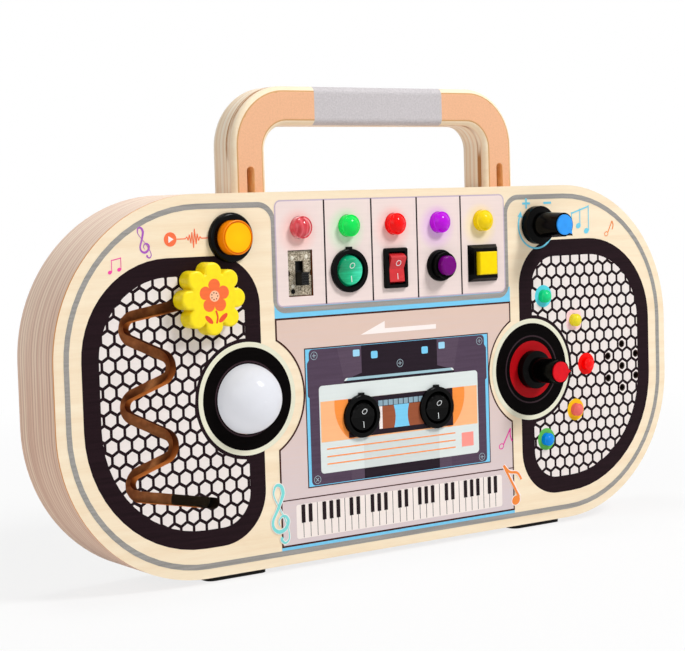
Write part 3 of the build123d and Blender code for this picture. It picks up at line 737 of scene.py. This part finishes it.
def grilleOutline(sign, inset):
    inner, outer, half = grille["inner"] + inset, grille["outer"] - inset, grille["half"] - inset
    shape = [(inner, -half, grille["innerBend"] - inset), (outer, -half, grille["lowBend"] - inset),
             (outer, half, grille["topBend"] - inset), (inner, half, grille["innerBend"] - inset)]
    points = [Vector((grille["shift"] + sign * point.x, point.y)) for point in corners(shape, 14)]
    return points if sign > 0 else points[::-1]


def clip(points, edge, inward):
    if len(points) < 3:
        return []
    kept = []
    for index, here in enumerate(points):
        before = points[index - 1]
        inHere, inBefore = (here - edge).dot(inward), (before - edge).dot(inward)
        if inHere * inBefore < 0:
            kept.append(before.lerp(here, inBefore / (inBefore - inHere)))
        if inHere >= 0:
            kept.append(here)
    return kept


def hexField(sign, startX, startZ):
    border = grilleOutline(sign, grille["frame"])
    dialMiddle = Vector((sign * dialX, 0))
    wide = grille["pitch"] * grille["white"] / math.sqrt(3)
    high = grille["rise"] * grille["white"] * 2 / 3
    places = range(-grille["rows"], grille["rows"] + 1)
    field = []
    for row, place in ((row, place) for row in places for place in places):
        centre = Vector((startX + (place + row % 2 / 2) * grille["pitch"], startZ + row * grille["rise"]))
        if not grille["inner"] < sign * centre.x < grille["outer"] or abs(centre.y) > grille["half"]:
            continue
        turns = [step * math.pi / 3 for step in range(6, 0, -1)]
        cell = [centre + Vector((wide * math.sin(turn), high * math.cos(turn))) for turn in turns]
        for index, corner in enumerate(border):
            along = border[(index + 1) % len(border)] - corner
            cell = clip(cell, corner, Vector((-along.y, along.x)))
        away = (centre - dialMiddle).normalized()
        cell = clip(cell, dialMiddle + away * grille["ringGap"], away)
        if len(cell) > 2 and max((a - b).length for a in cell for b in cell) > grille["smallest"]:
            field.append(cell)
    return field


for sign, label in ((-1, "left"), (1, "right")):
    pierced(label + "GrilleFrame", 1, "grilleInk", [grilleOutline(sign, 0.0)])
    pierced(label + "GrilleCells", 2, "grilleWhite", hexField(sign, *grille["starts"][label]))
print("grilles printed")

dial = dict(cream=20.1, black=18.3, purple=13.5, purpleInner=12.9, red=11.3, count=96)
addInks(creamInk=(228, 226, 204, 0.03), blackInk=(7, 5, 5, 0.4, 0.02), purpleInk=(50, 34, 40, 0.1),
        redInk=(172, 5, 16, 0.06))
for x, label in ((-dialX, "left"), (dialX, "right")):
    pierced(label + "DialEdge", 3, "creamInk", [circle(x, 0, dial["cream"], dial["count"])])
    pierced(label + "DialFace", 4, "blackInk", [circle(x, 0, dial["black"], dial["count"])])
    pierced(label + "DialRing", 5, "purpleInk",
            bands=[(circle(x, 0, dial["purple"]), circle(x, 0, dial["purpleInner"]))])
pierced("rightDialRed", 5, "redInk", [circle(dialX, 0, dial["red"])])

# coloured discs round the small lamps, one of them square
lampDisc = dict(radius=4.4, square=8.0, bend=2.2, grain=0.04, squareLamp="dial_lamp_yellow")
lampDisc["colours"] = {
    "dial_lamp_green": (86, 208, 226), "dial_lamp_yellow": (246, 208, 214), "dial_lamp_red": (240, 18, 14),
    "dial_lamp_pink": (248, 196, 24), "dial_lamp_blue": (98, 186, 84)}
for name, colour in lampDisc["colours"].items():
    x, z = onPrint(name)
    shape = circle(x, z, lampDisc["radius"], 48)
    if name == lampDisc["squareLamp"]:
        half = lampDisc["square"] / 2
        shape = column(x, lampDisc["square"], z - half, z + half, lampDisc["bend"])
    addInks(**{name + "Ink": (*colour, lampDisc["grain"])})
    pierced(name + "_disc", 3, name + "Ink", [shape])

# scorched rims round the sound holes
outlet = dict(pitch=9.05, outer=1.5, inner=0.625, count=6)
addInks(scorchedRim=(52, 30, 20, 0.3))
speakerMiddle = Vector(onPrint("speaker"))
around = circle(0, 0, outlet["pitch"], outlet["count"])
holes = [speakerMiddle] + [speakerMiddle + Vector((-place.y, place.x)) for place in around]
pierced("outletRims", 3, "scorchedRim", bands=[
    (circle(*hole, outlet["outer"], 32), circle(*hole, outlet["inner"], 32)) for hole in holes])

# the row of five cells
paintedLampGlow = {"reach": 9.0, "aside": -1.0, "under": -2.0, "grain": 0.02, "ends": (0.3, 1.0), "lamps": {
    "top_lamp_clear": (tint(250, 176, 164), 0.5), "top_lamp_green": (tint(176, 236, 188), 0.6),
    "top_lamp_red": (tint(248, 172, 166), 0.55), "top_lamp_purple": (tint(226, 170, 240), 0.65),
    "top_lamp_yellow": (tint(250, 232, 140), 0.6)}}


def paintedGlowInk(name, colour):  # painted light: the glow of each lamp is painted on the print round it, a little below and to the left
    material, tree = newMaterial(name)
    lines = noise(tree, "inkGrain")
    across, _, up = placeAxes(tree)
    colours = mottled(lines, colour, paintedLampGlow["grain"])
    for node, (glow, share) in paintedLampGlow["lamps"].items():
        centre = middle(node)
        away = reach(across - (centre.x + paintedLampGlow["aside"] * mm), up - (centre.z + paintedLampGlow["under"] * mm))
        fade = twoTone(away / (paintedLampGlow["reach"] * mm), grey(share), grey(0.0), *paintedLampGlow["ends"])
        colours = blend(fade, colours, glow)
    return paint(material, colours, lines, surfaces["ink"]["rough"], shine=inkLook["shine"])


cells = dict(left=-52.4, right=53.6, low=31.6, high=69.3, bend=2.2, line=0.5, divider=0.65,
             dividerShift=0.3)
middlePanel = dict(left=-53.8, right=56.0, low=-55.1, high=27.5, notch=22.6, shift=1.1, line=0.68,
                   topStrip=33.3, lowStrip=-56.4)
addInks(blueInk=(122, 202, 238, 0.04), cellLine=(196, 178, 196, 0.05), dividerInk=(32, 18, 24, 0.15),
        brownInk=(66, 34, 28, 0.15), whiteInk=(247, 236, 232, 0.02))
inks["cellInk"] = paintedGlowInk("cellInk", tint(235, 217, 212))
inks["dustyInk"] = fadedInk("dustyInk", tint(214, 200, 203), tint(221, 194, 180), middlePanel["low"],
                            middlePanel["high"])
pierced("blueStrip", 1, "blueInk", [
    rectangle(middlePanel["left"], middlePanel["high"], middlePanel["right"], middlePanel["topStrip"])])
pierced("cellEdge", 3, "cellLine", [grown(area(cells), cells["line"] / 2)])
pierced("cellField", 4, "cellInk", [grown(area(cells), -cells["line"] / 2)])
cellPitch = (middle("top_lamp_yellow").x - middle("top_lamp_clear").x) / 4 / mm
dividers = [cellPitch * (step - 1.5) + cells["dividerShift"] for step in range(4)]
printed("cellDividers", 5, "dividerInk", [
    column(x, cells["divider"], cells["low"], cells["high"]) for x in dividers])


def notched(inset):
    left, right = middlePanel["left"] + inset, middlePanel["right"] - inset
    low, high = middlePanel["low"] + inset, middlePanel["high"] - inset
    radius = middlePanel["notch"] + inset
    leftX, rightX = middlePanel["shift"] - dialX, middlePanel["shift"] + dialX
    span = math.degrees(math.acos((rightX - right) / radius))
    rightArc = arc(rightX, 0, radius, 180 + span, 180 - span)
    span = math.degrees(math.acos((left - leftX) / radius))
    leftArc = arc(leftX, 0, radius, span, -span)
    return polygon((left, low), (right, low), *rightArc, (right, high), (left, high), *leftArc)


pierced("middleEdge", 2, "brownInk", [notched(0.0)])
pierced("middleField", 3, "dustyInk", [notched(middlePanel["line"])])
arrow = [(-16.5, 19.3), (18.75, 19.3), (18.75, 21.0), (-5.4, 21.0), (-5.4, 23.7)]
printed("arrow", 4, "whiteInk", [polygon(*arrow)])
print("panels printed")

# the plain cassette
tape = dict(left=-41.8, right=44.2, low=-34.8, high=16.0, middle=1.1, edge=0.42, core=17.7, bodyLow=-34.1,
            bodyHigh=15.4)
mid, bodyLow, bodyHigh = tape["middle"], tape["bodyLow"], tape["bodyHigh"]
addInks(tapePurple=(80, 64, 82, 0.16), tapeShoulder=(87, 71, 88, 0.16), tapeCore=(34, 23, 33, 0.2),
        labelInk=(220, 227, 225, 0.02), labelShade=(210, 216, 214, 0.02), bandInk=(252, 184, 132, 0.04),
        orangeInk=(248, 146, 66, 0.05), tickInk=(140, 168, 182, 0.05), reelInk=(150, 82, 54, 0.08),
        paleBlueInk=(158, 212, 238, 0.04), squareInk=(250, 152, 142, 0.03), railInk=(160, 194, 205, 0.05),
        screwInk=(166, 186, 196, 0.05))


def mirrored(*places):  # the shape on both sides of the middle of the cassette
    return [[Vector((mid + sign * x, z)) for x, z in places] for sign in (-1, 1)]


pierced("tapeEdge", 4, "brownInk", [area(tape)])
pierced("tapeBlue", 5, "blueInk", [grown(area(tape), -tape["edge"])])
tapeHalf = [(41.2, bodyLow, 1.6), (41.2, -2.2, 0.0), (41.9, -1.4, 0.0), (41.9, 10.4, 0.0), (41.0, 11.6, 0.0),
            (41.0, bodyHigh, 1.6)]
pierced("tapeBody", 6, "tapePurple", [corners(
    [(mid + x, z, radius) for x, z, radius in tapeHalf]
    + [(mid - x, z, radius) for x, z, radius in reversed(tapeHalf)], 5)])
shoulderHigh = [(28.6, bodyHigh), (25.9, 4.0), (17.0, 4.0), (17.0, bodyHigh)]
shoulderLow = [(23.6, bodyLow), (17.0, bodyLow), (17.0, -30.0), (23.6, -30.0)]
printed("tapeShoulders", 6.5, "tapeShoulder", mirrored(*shoulderHigh) + mirrored(*shoulderLow))
pierced("tapeCore", 7, "tapeCore", [column(mid, 2 * tape["core"], bodyLow, bodyHigh)])

rail = dict(low=2.85, high=3.85, half=25.8, slope=0.9, tip=0.9, shade=5.3, shadeHalf=23.0, under=2.0)


def tapered(lowHalf, low, highHalf, high):
    return polygon((mid - lowHalf, low), (mid + lowHalf, low), (mid + highHalf, high), (mid - highHalf, high))


railTop = rail["half"] - rail["slope"]
printed("tapeRailShade", 7.5, "tapeCore", [
    tapered(rail["half"], rail["under"], rail["half"], rail["low"]),
    tapered(rail["shadeHalf"], rail["high"], tape["core"], rail["shade"])])
printed("tapeRail", 8, "railInk", [tapered(rail["half"], rail["low"], railTop, rail["high"])])
printed("tapeRailEnds", 8.5, "labelInk", mirrored(
    (rail["half"], rail["low"]), (railTop, rail["high"]), (railTop - rail["tip"], rail["high"]),
    (rail["half"] - rail["tip"], rail["low"])))
marks = {"tapePaleMarks": ("paleBlueInk", 20.0, 11.5, 14.0, 0.4),  # ink, place, lower and upper end, bend
         "tapeBlueMarks": ("blueInk", 11.8, 10.2, 12.9, 0.6)}
markWidth = 3.0
for name, (inkName, apart, *ends) in marks.items():
    printed(name, 8, inkName, [column(mid + sign * apart, markWidth, *ends) for sign in (-1, 1)])

label = dict(left=-36.0, low=-30.2, right=38.3, high=1.9, bend=1.4)
tapeBand = dict(left=-35.5, low=-18.75, right=37.8, high=-3.9)
window = dict(left=-23.3, low=-18.3, right=25.7, high=-3.9)
spool = dict(side=14.8, z=-6.0, radius=15.7, inner=22.0)  # a disc that shows beside the window
pierced("tapeLabel", 8, "labelInk", [area(label)])
printed("tapeLabelShade", 8.5, "labelShade", [column(mid, 2 * tape["core"], label["low"], tapeBand["low"])])
pierced("tapeBand", 9, "bandInk", [area(tapeBand)])
spoolLow, spoolHigh = [math.degrees(math.asin((tapeBand[end] - spool["z"]) / spool["radius"]))
                       for end in ("low", "high")]
spoolArc = arc(spool["side"], spool["z"], spool["radius"], spoolLow, spoolHigh)
pierced("tapeSpools", 10, "orangeInk", mirrored(
    *spoolArc, (spool["inner"], tapeBand["high"]), (spool["inner"], tapeBand["low"])))
pierced("tapeWindow", 11, "tapeCore", [area(window)])

ticks = dict(left=-9.6, pitch=2.36, width=2.0, low=-7.75, high=-5.7, count=9)
tickStarts = [ticks["left"] + ticks["pitch"] * step for step in range(ticks["count"])]
pierced("tapeTicks", 12, "tickInk", [
    rectangle(start, ticks["low"], start + ticks["width"], ticks["high"]) for start in tickStarts])
reel = dict(outer=10.4, inner=3.6, swell=0.75, low=-16.4, high=-7.9, steps=8, gap=7.8)
swell = []
for step in range(reel["steps"] + 1):
    share = step / reel["steps"]
    swell.append((reel["inner"] - reel["swell"] * math.sin(math.pi * share),
                  reel["low"] + (reel["high"] - reel["low"]) * share))
pierced("tapeReels", 12, "reelInk", mirrored(
    (reel["outer"], reel["low"]), *swell, (reel["outer"], reel["high"])))
pierced("tapeGap", 11.9, "blueInk", [column(mid, reel["gap"], reel["low"], reel["high"])])
sliver = dict(left=-9.4, low=-16.3, right=-7.9, high=-7.9)
pierced("tapeSliver", 13, "whiteInk", [area(sliver)])

rules = dict(left=-33.2, right=26.7, half=0.22, rows=(-21.4, -24.2, -26.9))
printed("tapeRules", 9, "orangeInk", [
    rectangle(rules["left"], z - rules["half"], rules["right"], z + rules["half"]) for z in rules["rows"]])
square = dict(left=29.8, low=-27.1, right=35.6, high=-21.7)
printed("tapeSquare", 9, "squareInk", [area(square)])
screw = {"radius": 1.5, "inner": 1.33, "slot": 0.85, "bar": 0.1, "places": [
    (mid - 38.8, 13.1, 0.0), (mid + 38.6, 13.1, 0.0), (mid, 7.5, 0.0), (mid - 38.8, -32.1, math.pi / 4),
    (mid + 38.6, -32.1, 0.0)]}  # across, up and tilt of the slots
printed("tapeScrews", 8, "screwInk",
        [cross(x, z, screw["slot"], screw["bar"], tilt) for x, z, tilt in screw["places"]],
        [[circle(x, z, screw[end], 32) for end in ("radius", "inner")] for x, z, _ in screw["places"]])
print("cassette printed")

# keyboard strip: the first black key of each group is listed
keys = dict(left=-47.3, right=49.6, low=-52.7, high=-40.2, bend=1.0, black=1.65, blackLow=-47.0,
            blackHigh=-40.4, line=0.22, lineLow=-52.4, pitch=3.1, gap=1.5, ruleLow=-38.4, ruleHigh=-38.0,
            twos=(-44.3, -23.0, -0.7, 21.7, 43.1), threes=(-35.1, -13.4, 8.8, 31.1))
sharps = sorted([start + keys["pitch"] * step for start in keys["twos"] for step in range(2)]
                + [start + keys["pitch"] * step for start in keys["threes"] for step in range(3)])
seams = sharps + [(a + b) / 2 for a, b in zip(sharps, sharps[1:]) if b - a > keys["gap"] * keys["pitch"]]
addInks(ivoryInk=(241, 230, 224, 0.02), ebonyInk=(34, 22, 26, 0.1))
printed("keyboardRule", 4, "brownInk", [
    rectangle(middlePanel["left"], keys["ruleLow"], middlePanel["right"], keys["ruleHigh"])])
printed("whiteKeys", 4, "ivoryInk", [area(keys)])
printed("keySeams", 5, "ebonyInk", [
    column(x, keys["line"], keys["lineLow"], keys["high"]) for x in seams])
printed("blackKeys", 6, "ebonyInk", [
    column(x, keys["black"], keys["blackLow"], keys["blackHigh"]) for x in sharps])
printed("lowBlueStrip", 1, "blueInk", [
    rectangle(middlePanel["left"], middlePanel["lowStrip"], middlePanel["right"], middlePanel["low"])])

# notes, clefs and marks
# a treble clef in shares of its height: across, up and weight of the stroke
clefShares = [
    (0.03, -0.39, 1.0), (0.01, -0.43, 0.9), (0.08, -0.49, 0.7), (0.16, -0.42, 0.5), (0.14, -0.25, 0.35),
    (0.05, -0.02, 0.3), (-0.05, 0.165, 0.3), (-0.12, 0.33, 0.45), (-0.09, 0.45, 0.8), (-0.03, 0.48, 1.0),
    (0.03, 0.45, 1.2), (0.06, 0.37, 1.3), (0.05, 0.285, 1.2), (-0.055, 0.07, 1.0), (-0.145, -0.09, 0.9),
    (-0.14, -0.21, 1.0), (-0.07, -0.28, 1.2), (0.01, -0.29, 1.3), (0.1, -0.245, 1.2), (0.15, -0.14, 1.1),
    (0.11, -0.057, 0.9), (0.04, -0.04, 0.7), (-0.02, -0.085, 0.45), (-0.035, -0.14, 0.3), (-0.01, -0.2, 0.2)]
addInks(tealInk=(128, 216, 214, 0.04), violetInk=(172, 92, 190, 0.05), pinkInk=(240, 78, 166, 0.05),
        coralInk=(246, 116, 74, 0.05), skyInk=(116, 204, 228, 0.04), noteOrange=(240, 138, 62, 0.05),
        magentaInk=(226, 62, 160, 0.05))


def clef(name, level, inkName, look, margin=0.0):
    line = []
    for across, up, weight in clefShares:
        spot = Vector((look["x"], look["z"])) + look["height"] * turned(across, up, look["tilt"])
        line.append((*spot, weight + margin / look["width"]))
    printed(name, level, inkName, strokes=[(smooth(line, 4), look["width"])])


bigClef = dict(x=-54.2, z=-42.6, height=21.9, width=1.05, tilt=0.0, margin=0.6)
smallClef = dict(x=-105.4, z=56.4, height=11.2, width=0.62, tilt=0.22)
clef("tealClefEdge", 5, "whiteInk", bigClef, bigClef["margin"])
clef("tealClef", 7, "tealInk", bigClef)
clef("violetClef", 2, "violetInk", smallClef)

noteShares = dict(beamedHead=0.8, beamedTilt=0.4, beam=1.3, head=0.85, tilt=0.5, stemX=0.8, stemZ=0.5,
                  ring=0.7)  # tilts in radians, the beam and ring in widths of the line


def beamedNotes(name, inkName, look):
    heads, tops, size, width = look["heads"], look["tops"], look["size"], look["width"]
    plates = [oval(x, z, size, size * noteShares["beamedHead"], noteShares["beamedTilt"]) for x, z in heads]
    stems = [(polygon((top[0], head[1]), top), width) for head, top in zip(heads, tops)]
    beam = [Vector(top) - Vector((0, width)) for top in (tops[0], tops[-1])]
    printed(name, 2, inkName, plates, strokes=stems + [(beam, noteShares["beam"] * width)])


twoNotes = dict(heads=[(-118.5, 47.0), (-115.0, 47.8)], tops=[(-117.8, 51.2), (-114.3, 51.9)], size=0.78,
                width=0.25)
threeNotes = dict(heads=[(88.3, 53.6), (93.0, 56.0), (97.3, 53.8)], tops=[(89.4, 61.5), (93.9, 62.8),
                  (98.6, 64.1)], size=1.35, width=0.45)
beamedNotes("pinkNotes", "pinkInk", twoNotes)
beamedNotes("tealNotes", "skyInk", threeNotes)

playSpot = dict(x=-95.1, z=57.2, radius=2.45, triangle=[(-0.75, -1.2), (1.25, 0.0), (-0.75, 1.2)],
                lineStart=2.6, lineBend=5.6, firstBeat=6.0, beatPitch=0.52, lineEnd=14.9, line=0.32,
                beats=(0.0, 0.7, -0.6, 1.4, -1.6, 2.2, -3.2, 3.3, -2.0, 1.6, -0.8, 0.6, 0.0))
spot = Vector((playSpot["x"], playSpot["z"]))
printed("playDisc", 2, "coralInk", [circle(*spot, playSpot["radius"], 48)])
printed("playTriangle", 3, "whiteInk", [[spot + Vector(place) for place in playSpot["triangle"]]])
pulse = [(playSpot["lineStart"], 0.0), (playSpot["lineBend"], 0.0)]
for step, beat in enumerate(playSpot["beats"]):
    pulse.append((playSpot["firstBeat"] + playSpot["beatPitch"] * step, beat))
pulse = [spot + Vector(place) for place in pulse + [(playSpot["lineEnd"], 0.0)]]
printed("soundWave", 2, "coralInk", strokes=[([a, b], playSpot["line"]) for a, b in zip(pulse, pulse[1:])])


def flagNote(name, level, inkName, look):
    (x, z), top, size, width = look["head"], look["top"], look["size"], look["width"]
    high, tilt, ring = size * noteShares["head"], noteShares["tilt"], width * noteShares["ring"]
    head = oval(x, z, size, high, tilt)
    foot = Vector((x + size * noteShares["stemX"], z + size * noteShares["stemZ"]))
    strokes = [([foot, Vector(top)], width), (smooth([top] + look["flag"]), width)]
    if look["filled"]:
        printed(name, level, inkName, [head], strokes=strokes)
    else:
        inner = oval(x, z, size - ring, high - ring, tilt)
        printed(name, level, inkName, bands=[(head, inner)], strokes=strokes)


bigNote = dict(head=(56.6, -51.2), top=(50.6, -36.8), flag=[(53.6, -39.6), (57.5, -40.4), (59.6, -43.2)],
               size=2.1, width=1.0, filled=True)
bigEdge = dict(bigNote, size=2.45, width=1.65)
lowNote = dict(head=(49.8, -29.1), top=(54.6, -22.4), flag=[(54.4, -25.0), (55.3, -27.6)], size=1.35,
               width=0.55, filled=False)
highNote = dict(head=(108.3, 52.2), top=(111.6, 57.4), flag=[(112.2, 55.6), (111.6, 53.9)], size=1.15,
                width=0.46, filled=False)
flagNote("orangeNoteEdge", 5, "whiteInk", bigEdge)
flagNote("orangeNote", 6, "noteOrange", bigNote)
flagNote("magentaNote", 4, "magentaInk", lowNote)
flagNote("smallNote", 2, "noteOrange", highNote)

volume = dict(side=0.5, radius=9.2, start=156, end=325, width=0.7, signZ=65.6, sign=2.0, bar=0.42,
              plusX=-5.0, minusX=6.1, tip=[(-1.2, -0.2), (1.3, -0.7), (0.6, 1.9)])
x, z = onPrint("volume_shaft")
x += volume["side"]
sweep = arc(x, z, volume["radius"], volume["start"], volume["end"], 40)
plus = cross(x + volume["plusX"], volume["signZ"], volume["sign"], volume["bar"])
minus = column(x + volume["minusX"], 2 * volume["sign"], volume["signZ"] - volume["bar"],
               volume["signZ"] + volume["bar"])
printed("volumeSweep", 3, "skyInk", [plus, minus, [sweep[0] + Vector(place) for place in volume["tip"]]],
        strokes=[(sweep, volume["width"])])
print("notes and marks printed")


# O and I on the rockers, laid on the sloping faces of the keys
def landing(node, x, z, away=-1.0):
    _, spot, normal, _ = nodes[node].ray_cast(Vector((x, away, z)), Vector((0, 1, 0)))
    up = normal.cross(Vector((1, 0, 0)))
    up = up if up.z > 0 else -up

    def place(across, along, lift):
        return spot + Vector((across * mm, 0, 0)) + up * along * mm + normal * lift * mm
    return place


rockerMark = dict(ring=1.15, line=0.24, bar=1.15, upper=1.8, lower=-3.1, side=0.3, lift=0.05)
addInks(markInk=(232, 236, 236, 0.02))
for node, body in (("green_rocker", "green_rocker_key"), ("red_rocker", "red_rocker_key"),
                   ("left_hub_rocker", "left_hub_key"), ("right_hub_rocker", "right_hub_key")):
    centre = middle(node)
    upper, lower = [landing(node, centre.x + rockerMark["side"] * mm, centre.z + rockerMark[end] * mm)
                    for end in ("upper", "lower")]
    ring, line, bar, lift = (rockerMark[part] for part in ("ring", "line", "bar", "lift"))
    bm = bmesh.new()
    addBand(bm, circle(0, 0, ring, 40), circle(0, 0, ring - line, 40), upper, 0.0, lift, True)
    addPlate(bm, column(0, line, -bar, bar), lower, 0.0, lift)
    newPiece(node + "_marks", bm, inks["markInk"], body)
print("rocker marks laid")

# a plain flower on the sliding block
flower = dict(petals=5, petal=2.5, reach=3.5, blunt=0.6, rise=1.0, points=120, centre=1.9, seeds=7,
              seed=0.25, seedRing=1.2, stem=[(0.4, -4.0), (1.0, -6.2), (0.6, -8.4)], stemWidth=0.7,
              stemHigh=1.2 * inkStep, leaves=[(3.2, -6.6, 2.2, 0.9, 0.7), (-2.4, -7.0, 2.0, 0.85, 2.4)])
addInks(petalInk=(244, 112, 62, 0.05), heartInk=(252, 196, 160, 0.04), seedInk=(120, 52, 40, 0.08),
        leafInk=(236, 84, 52, 0.05))
onBlock = frontOf("sliding_block")


def onFlower(name, level, inkName, plates, stroke=None):
    bm = bmesh.new()
    if stroke:
        addBand(bm, *stroke, onBlock, 0.0, flower["stemHigh"], False)
    for points in plates:
        addPlate(bm, points, onBlock, (level - 1) * inkStep, level * inkStep)
    newPiece(name, bm, inks[inkName], "slider_block")


petals = []
for step in range(flower["points"]):  # petals drawn as one waved outline
    turn = math.tau * step / flower["points"]
    swing = abs(math.cos(turn * flower["petals"] / 2)) ** flower["blunt"]
    wave = flower["reach"] + flower["petal"] * swing
    petals.append(Vector((wave * math.sin(turn), flower["rise"] + wave * math.cos(turn))))
seedPlaces = circle(0, flower["rise"], flower["seedRing"], flower["seeds"])
onFlower("flowerPetals", 1, "petalInk", [petals[::-1]])
onFlower("flowerHeart", 2, "heartInk", [circle(0, flower["rise"], flower["centre"], 40)])
onFlower("flowerSeeds", 3, "seedInk", [circle(*place, flower["seed"], 16) for place in seedPlaces])
onFlower("flowerStem", 1, "leafInk", [oval(*leaf) for leaf in flower["leaves"]],
         edges(smooth(flower["stem"]), flower["stemWidth"]))

# pressed dimples in the frame of the slide switch
dimple = dict(radius=0.75, height=0.22, places=[(-3.0, 5.6), (3.0, 5.9), (-3.0, -4.6)], rings=5, count=20,
              dent=0.9, dentX=-3.0, dentZ=-6.5)
onFrame = frontOf("slide_switch_frame")


def addDome(bm, x, z):
    rings = []
    for level in range(dimple["rings"]):
        tilt = math.pi / 2 * level / dimple["rings"]
        ring = circle(x, z, dimple["radius"] * math.cos(tilt), dimple["count"])
        lift = dimple["height"] * math.sin(tilt)
        rings.append([bm.verts.new(onFrame(point.x, point.y, lift)) for point in ring])
    for lower, upper in zip(rings, rings[1:]):
        for index in range(dimple["count"]):
            after = (index + 1) % dimple["count"]
            bm.faces.new((lower[index], lower[after], upper[after], upper[index]))
    bm.faces.new(rings[-1])
    bm.faces.new(rings[0][::-1])


# painted highlight: the dimples are painted pale, for the light they catch
dimpleHighlight = plastic("dimpleHighlight", tint(226, 220, 204), 0.3, 0.1)
bm = bmesh.new()
for place in dimple["places"]:
    addDome(bm, *place)
newPiece("switchDimples", bm, dimpleHighlight, "housing", True)
# painted shade: the dent is a thin black disc laid on the frame
bm = bmesh.new()
addPlate(bm, circle(dimple["dentX"], dimple["dentZ"], dimple["dent"], 32), onFrame, 0.0, inkStep)
newPiece("switchDent", bm, black, "housing")
print("flower and dimples laid")

# light, floor and camera
studio = {"sky": 0.2, "target": (0, 0, 0.08), "lamps": {  # place, size and power
    "keyLamp": ((0.62, -1.0, 1.3), 0.45, 22.5),
    "fillLamp": ((-1.3, -0.7, 0.7), 1.2, 5.6),
    "topLamp": ((-0.1, 0.15, 1.3), 0.35, 4.2)}}


def whiteRays(tree):  # rays that see the surroundings as plain white
    rays = tree.nodes.new("ShaderNodeLightPath").outputs
    clearRays = Signal(rays["Is Glossy Ray"]).calc("MAXIMUM", Signal(rays["Is Transmission Ray"]))
    return Signal(rays["Is Camera Ray"]).calc("MAXIMUM", clearRays)


world = bpy.data.worlds.new("studio")
bpy.context.scene.world = world
world.use_nodes = True
background = world.node_tree.nodes["Background"]
background.inputs["Color"].default_value = grey(1.0)
feed(whiteRays(world.node_tree) * (1.0 - studio["sky"]) + studio["sky"], background.inputs["Strength"])
for name, (place, size, power) in studio["lamps"].items():
    lamp = bpy.data.lights.new(name, "AREA")
    lamp.size = size
    lamp.energy = power
    holder = addObject(name, lamp)
    holder.location = place
    holder.rotation_euler = (Vector(studio["target"]) - Vector(place)).to_track_quat("-Z", "Y").to_euler()

ground = dict(size=6.0, colour=grey(0.8), roughness=0.9, white=0.8, whiteFrom=0.15, whiteTo=0.55)
floorMaterial, tree = newMaterial("paleFloor")
shader = tree.nodes["Principled BSDF"]
shader.inputs["Base Color"].default_value = ground["colour"]
shader.inputs["Roughness"].default_value = ground["roughness"]
across, depth, _ = placeAxes(tree)
# the floor turns white away from the board
fade = mapped(reach(across, depth), ground["white"], 1.0, ground["whiteFrom"], ground["whiteTo"])
glow = tree.nodes.new("ShaderNodeEmission")
mixed = tree.nodes.new("ShaderNodeMixShader")
feed(whiteRays(tree) * fade, mixed.inputs["Fac"])
tree.links.new(shader.outputs["BSDF"], mixed.inputs[1])
tree.links.new(glow.outputs["Emission"], mixed.inputs[2])
tree.links.new(mixed.outputs["Shader"], tree.nodes["Material Output"].inputs["Surface"])
bm = bmesh.new()
bmesh.ops.create_grid(bm, x_segments=1, y_segments=1, size=ground["size"])
floorMesh = bpy.data.meshes.new("floor")
bm.to_mesh(floorMesh)
bm.free()
floorMesh.materials.append(floorMaterial)
floor = addObject("floor", floorMesh)

shot = dict(place=(-0.38637, -0.52171, 0.13066), turn=(86.013, 1.7125, -35.14), lens=90.887, sensor=36.0)
camera = bpy.data.cameras.new("camera")
camera.lens = shot["lens"]
camera.sensor_width = shot["sensor"]
camera.sensor_fit = "HORIZONTAL"
holder = addObject("camera", camera)
holder.location = shot["place"]
holder.rotation_euler = [math.radians(angle) for angle in shot["turn"]]
bpy.context.scene.camera = holder
bpy.context.scene.view_settings.view_transform = "Standard"

bpy.data.objects.remove(openings)
print("scene ready")
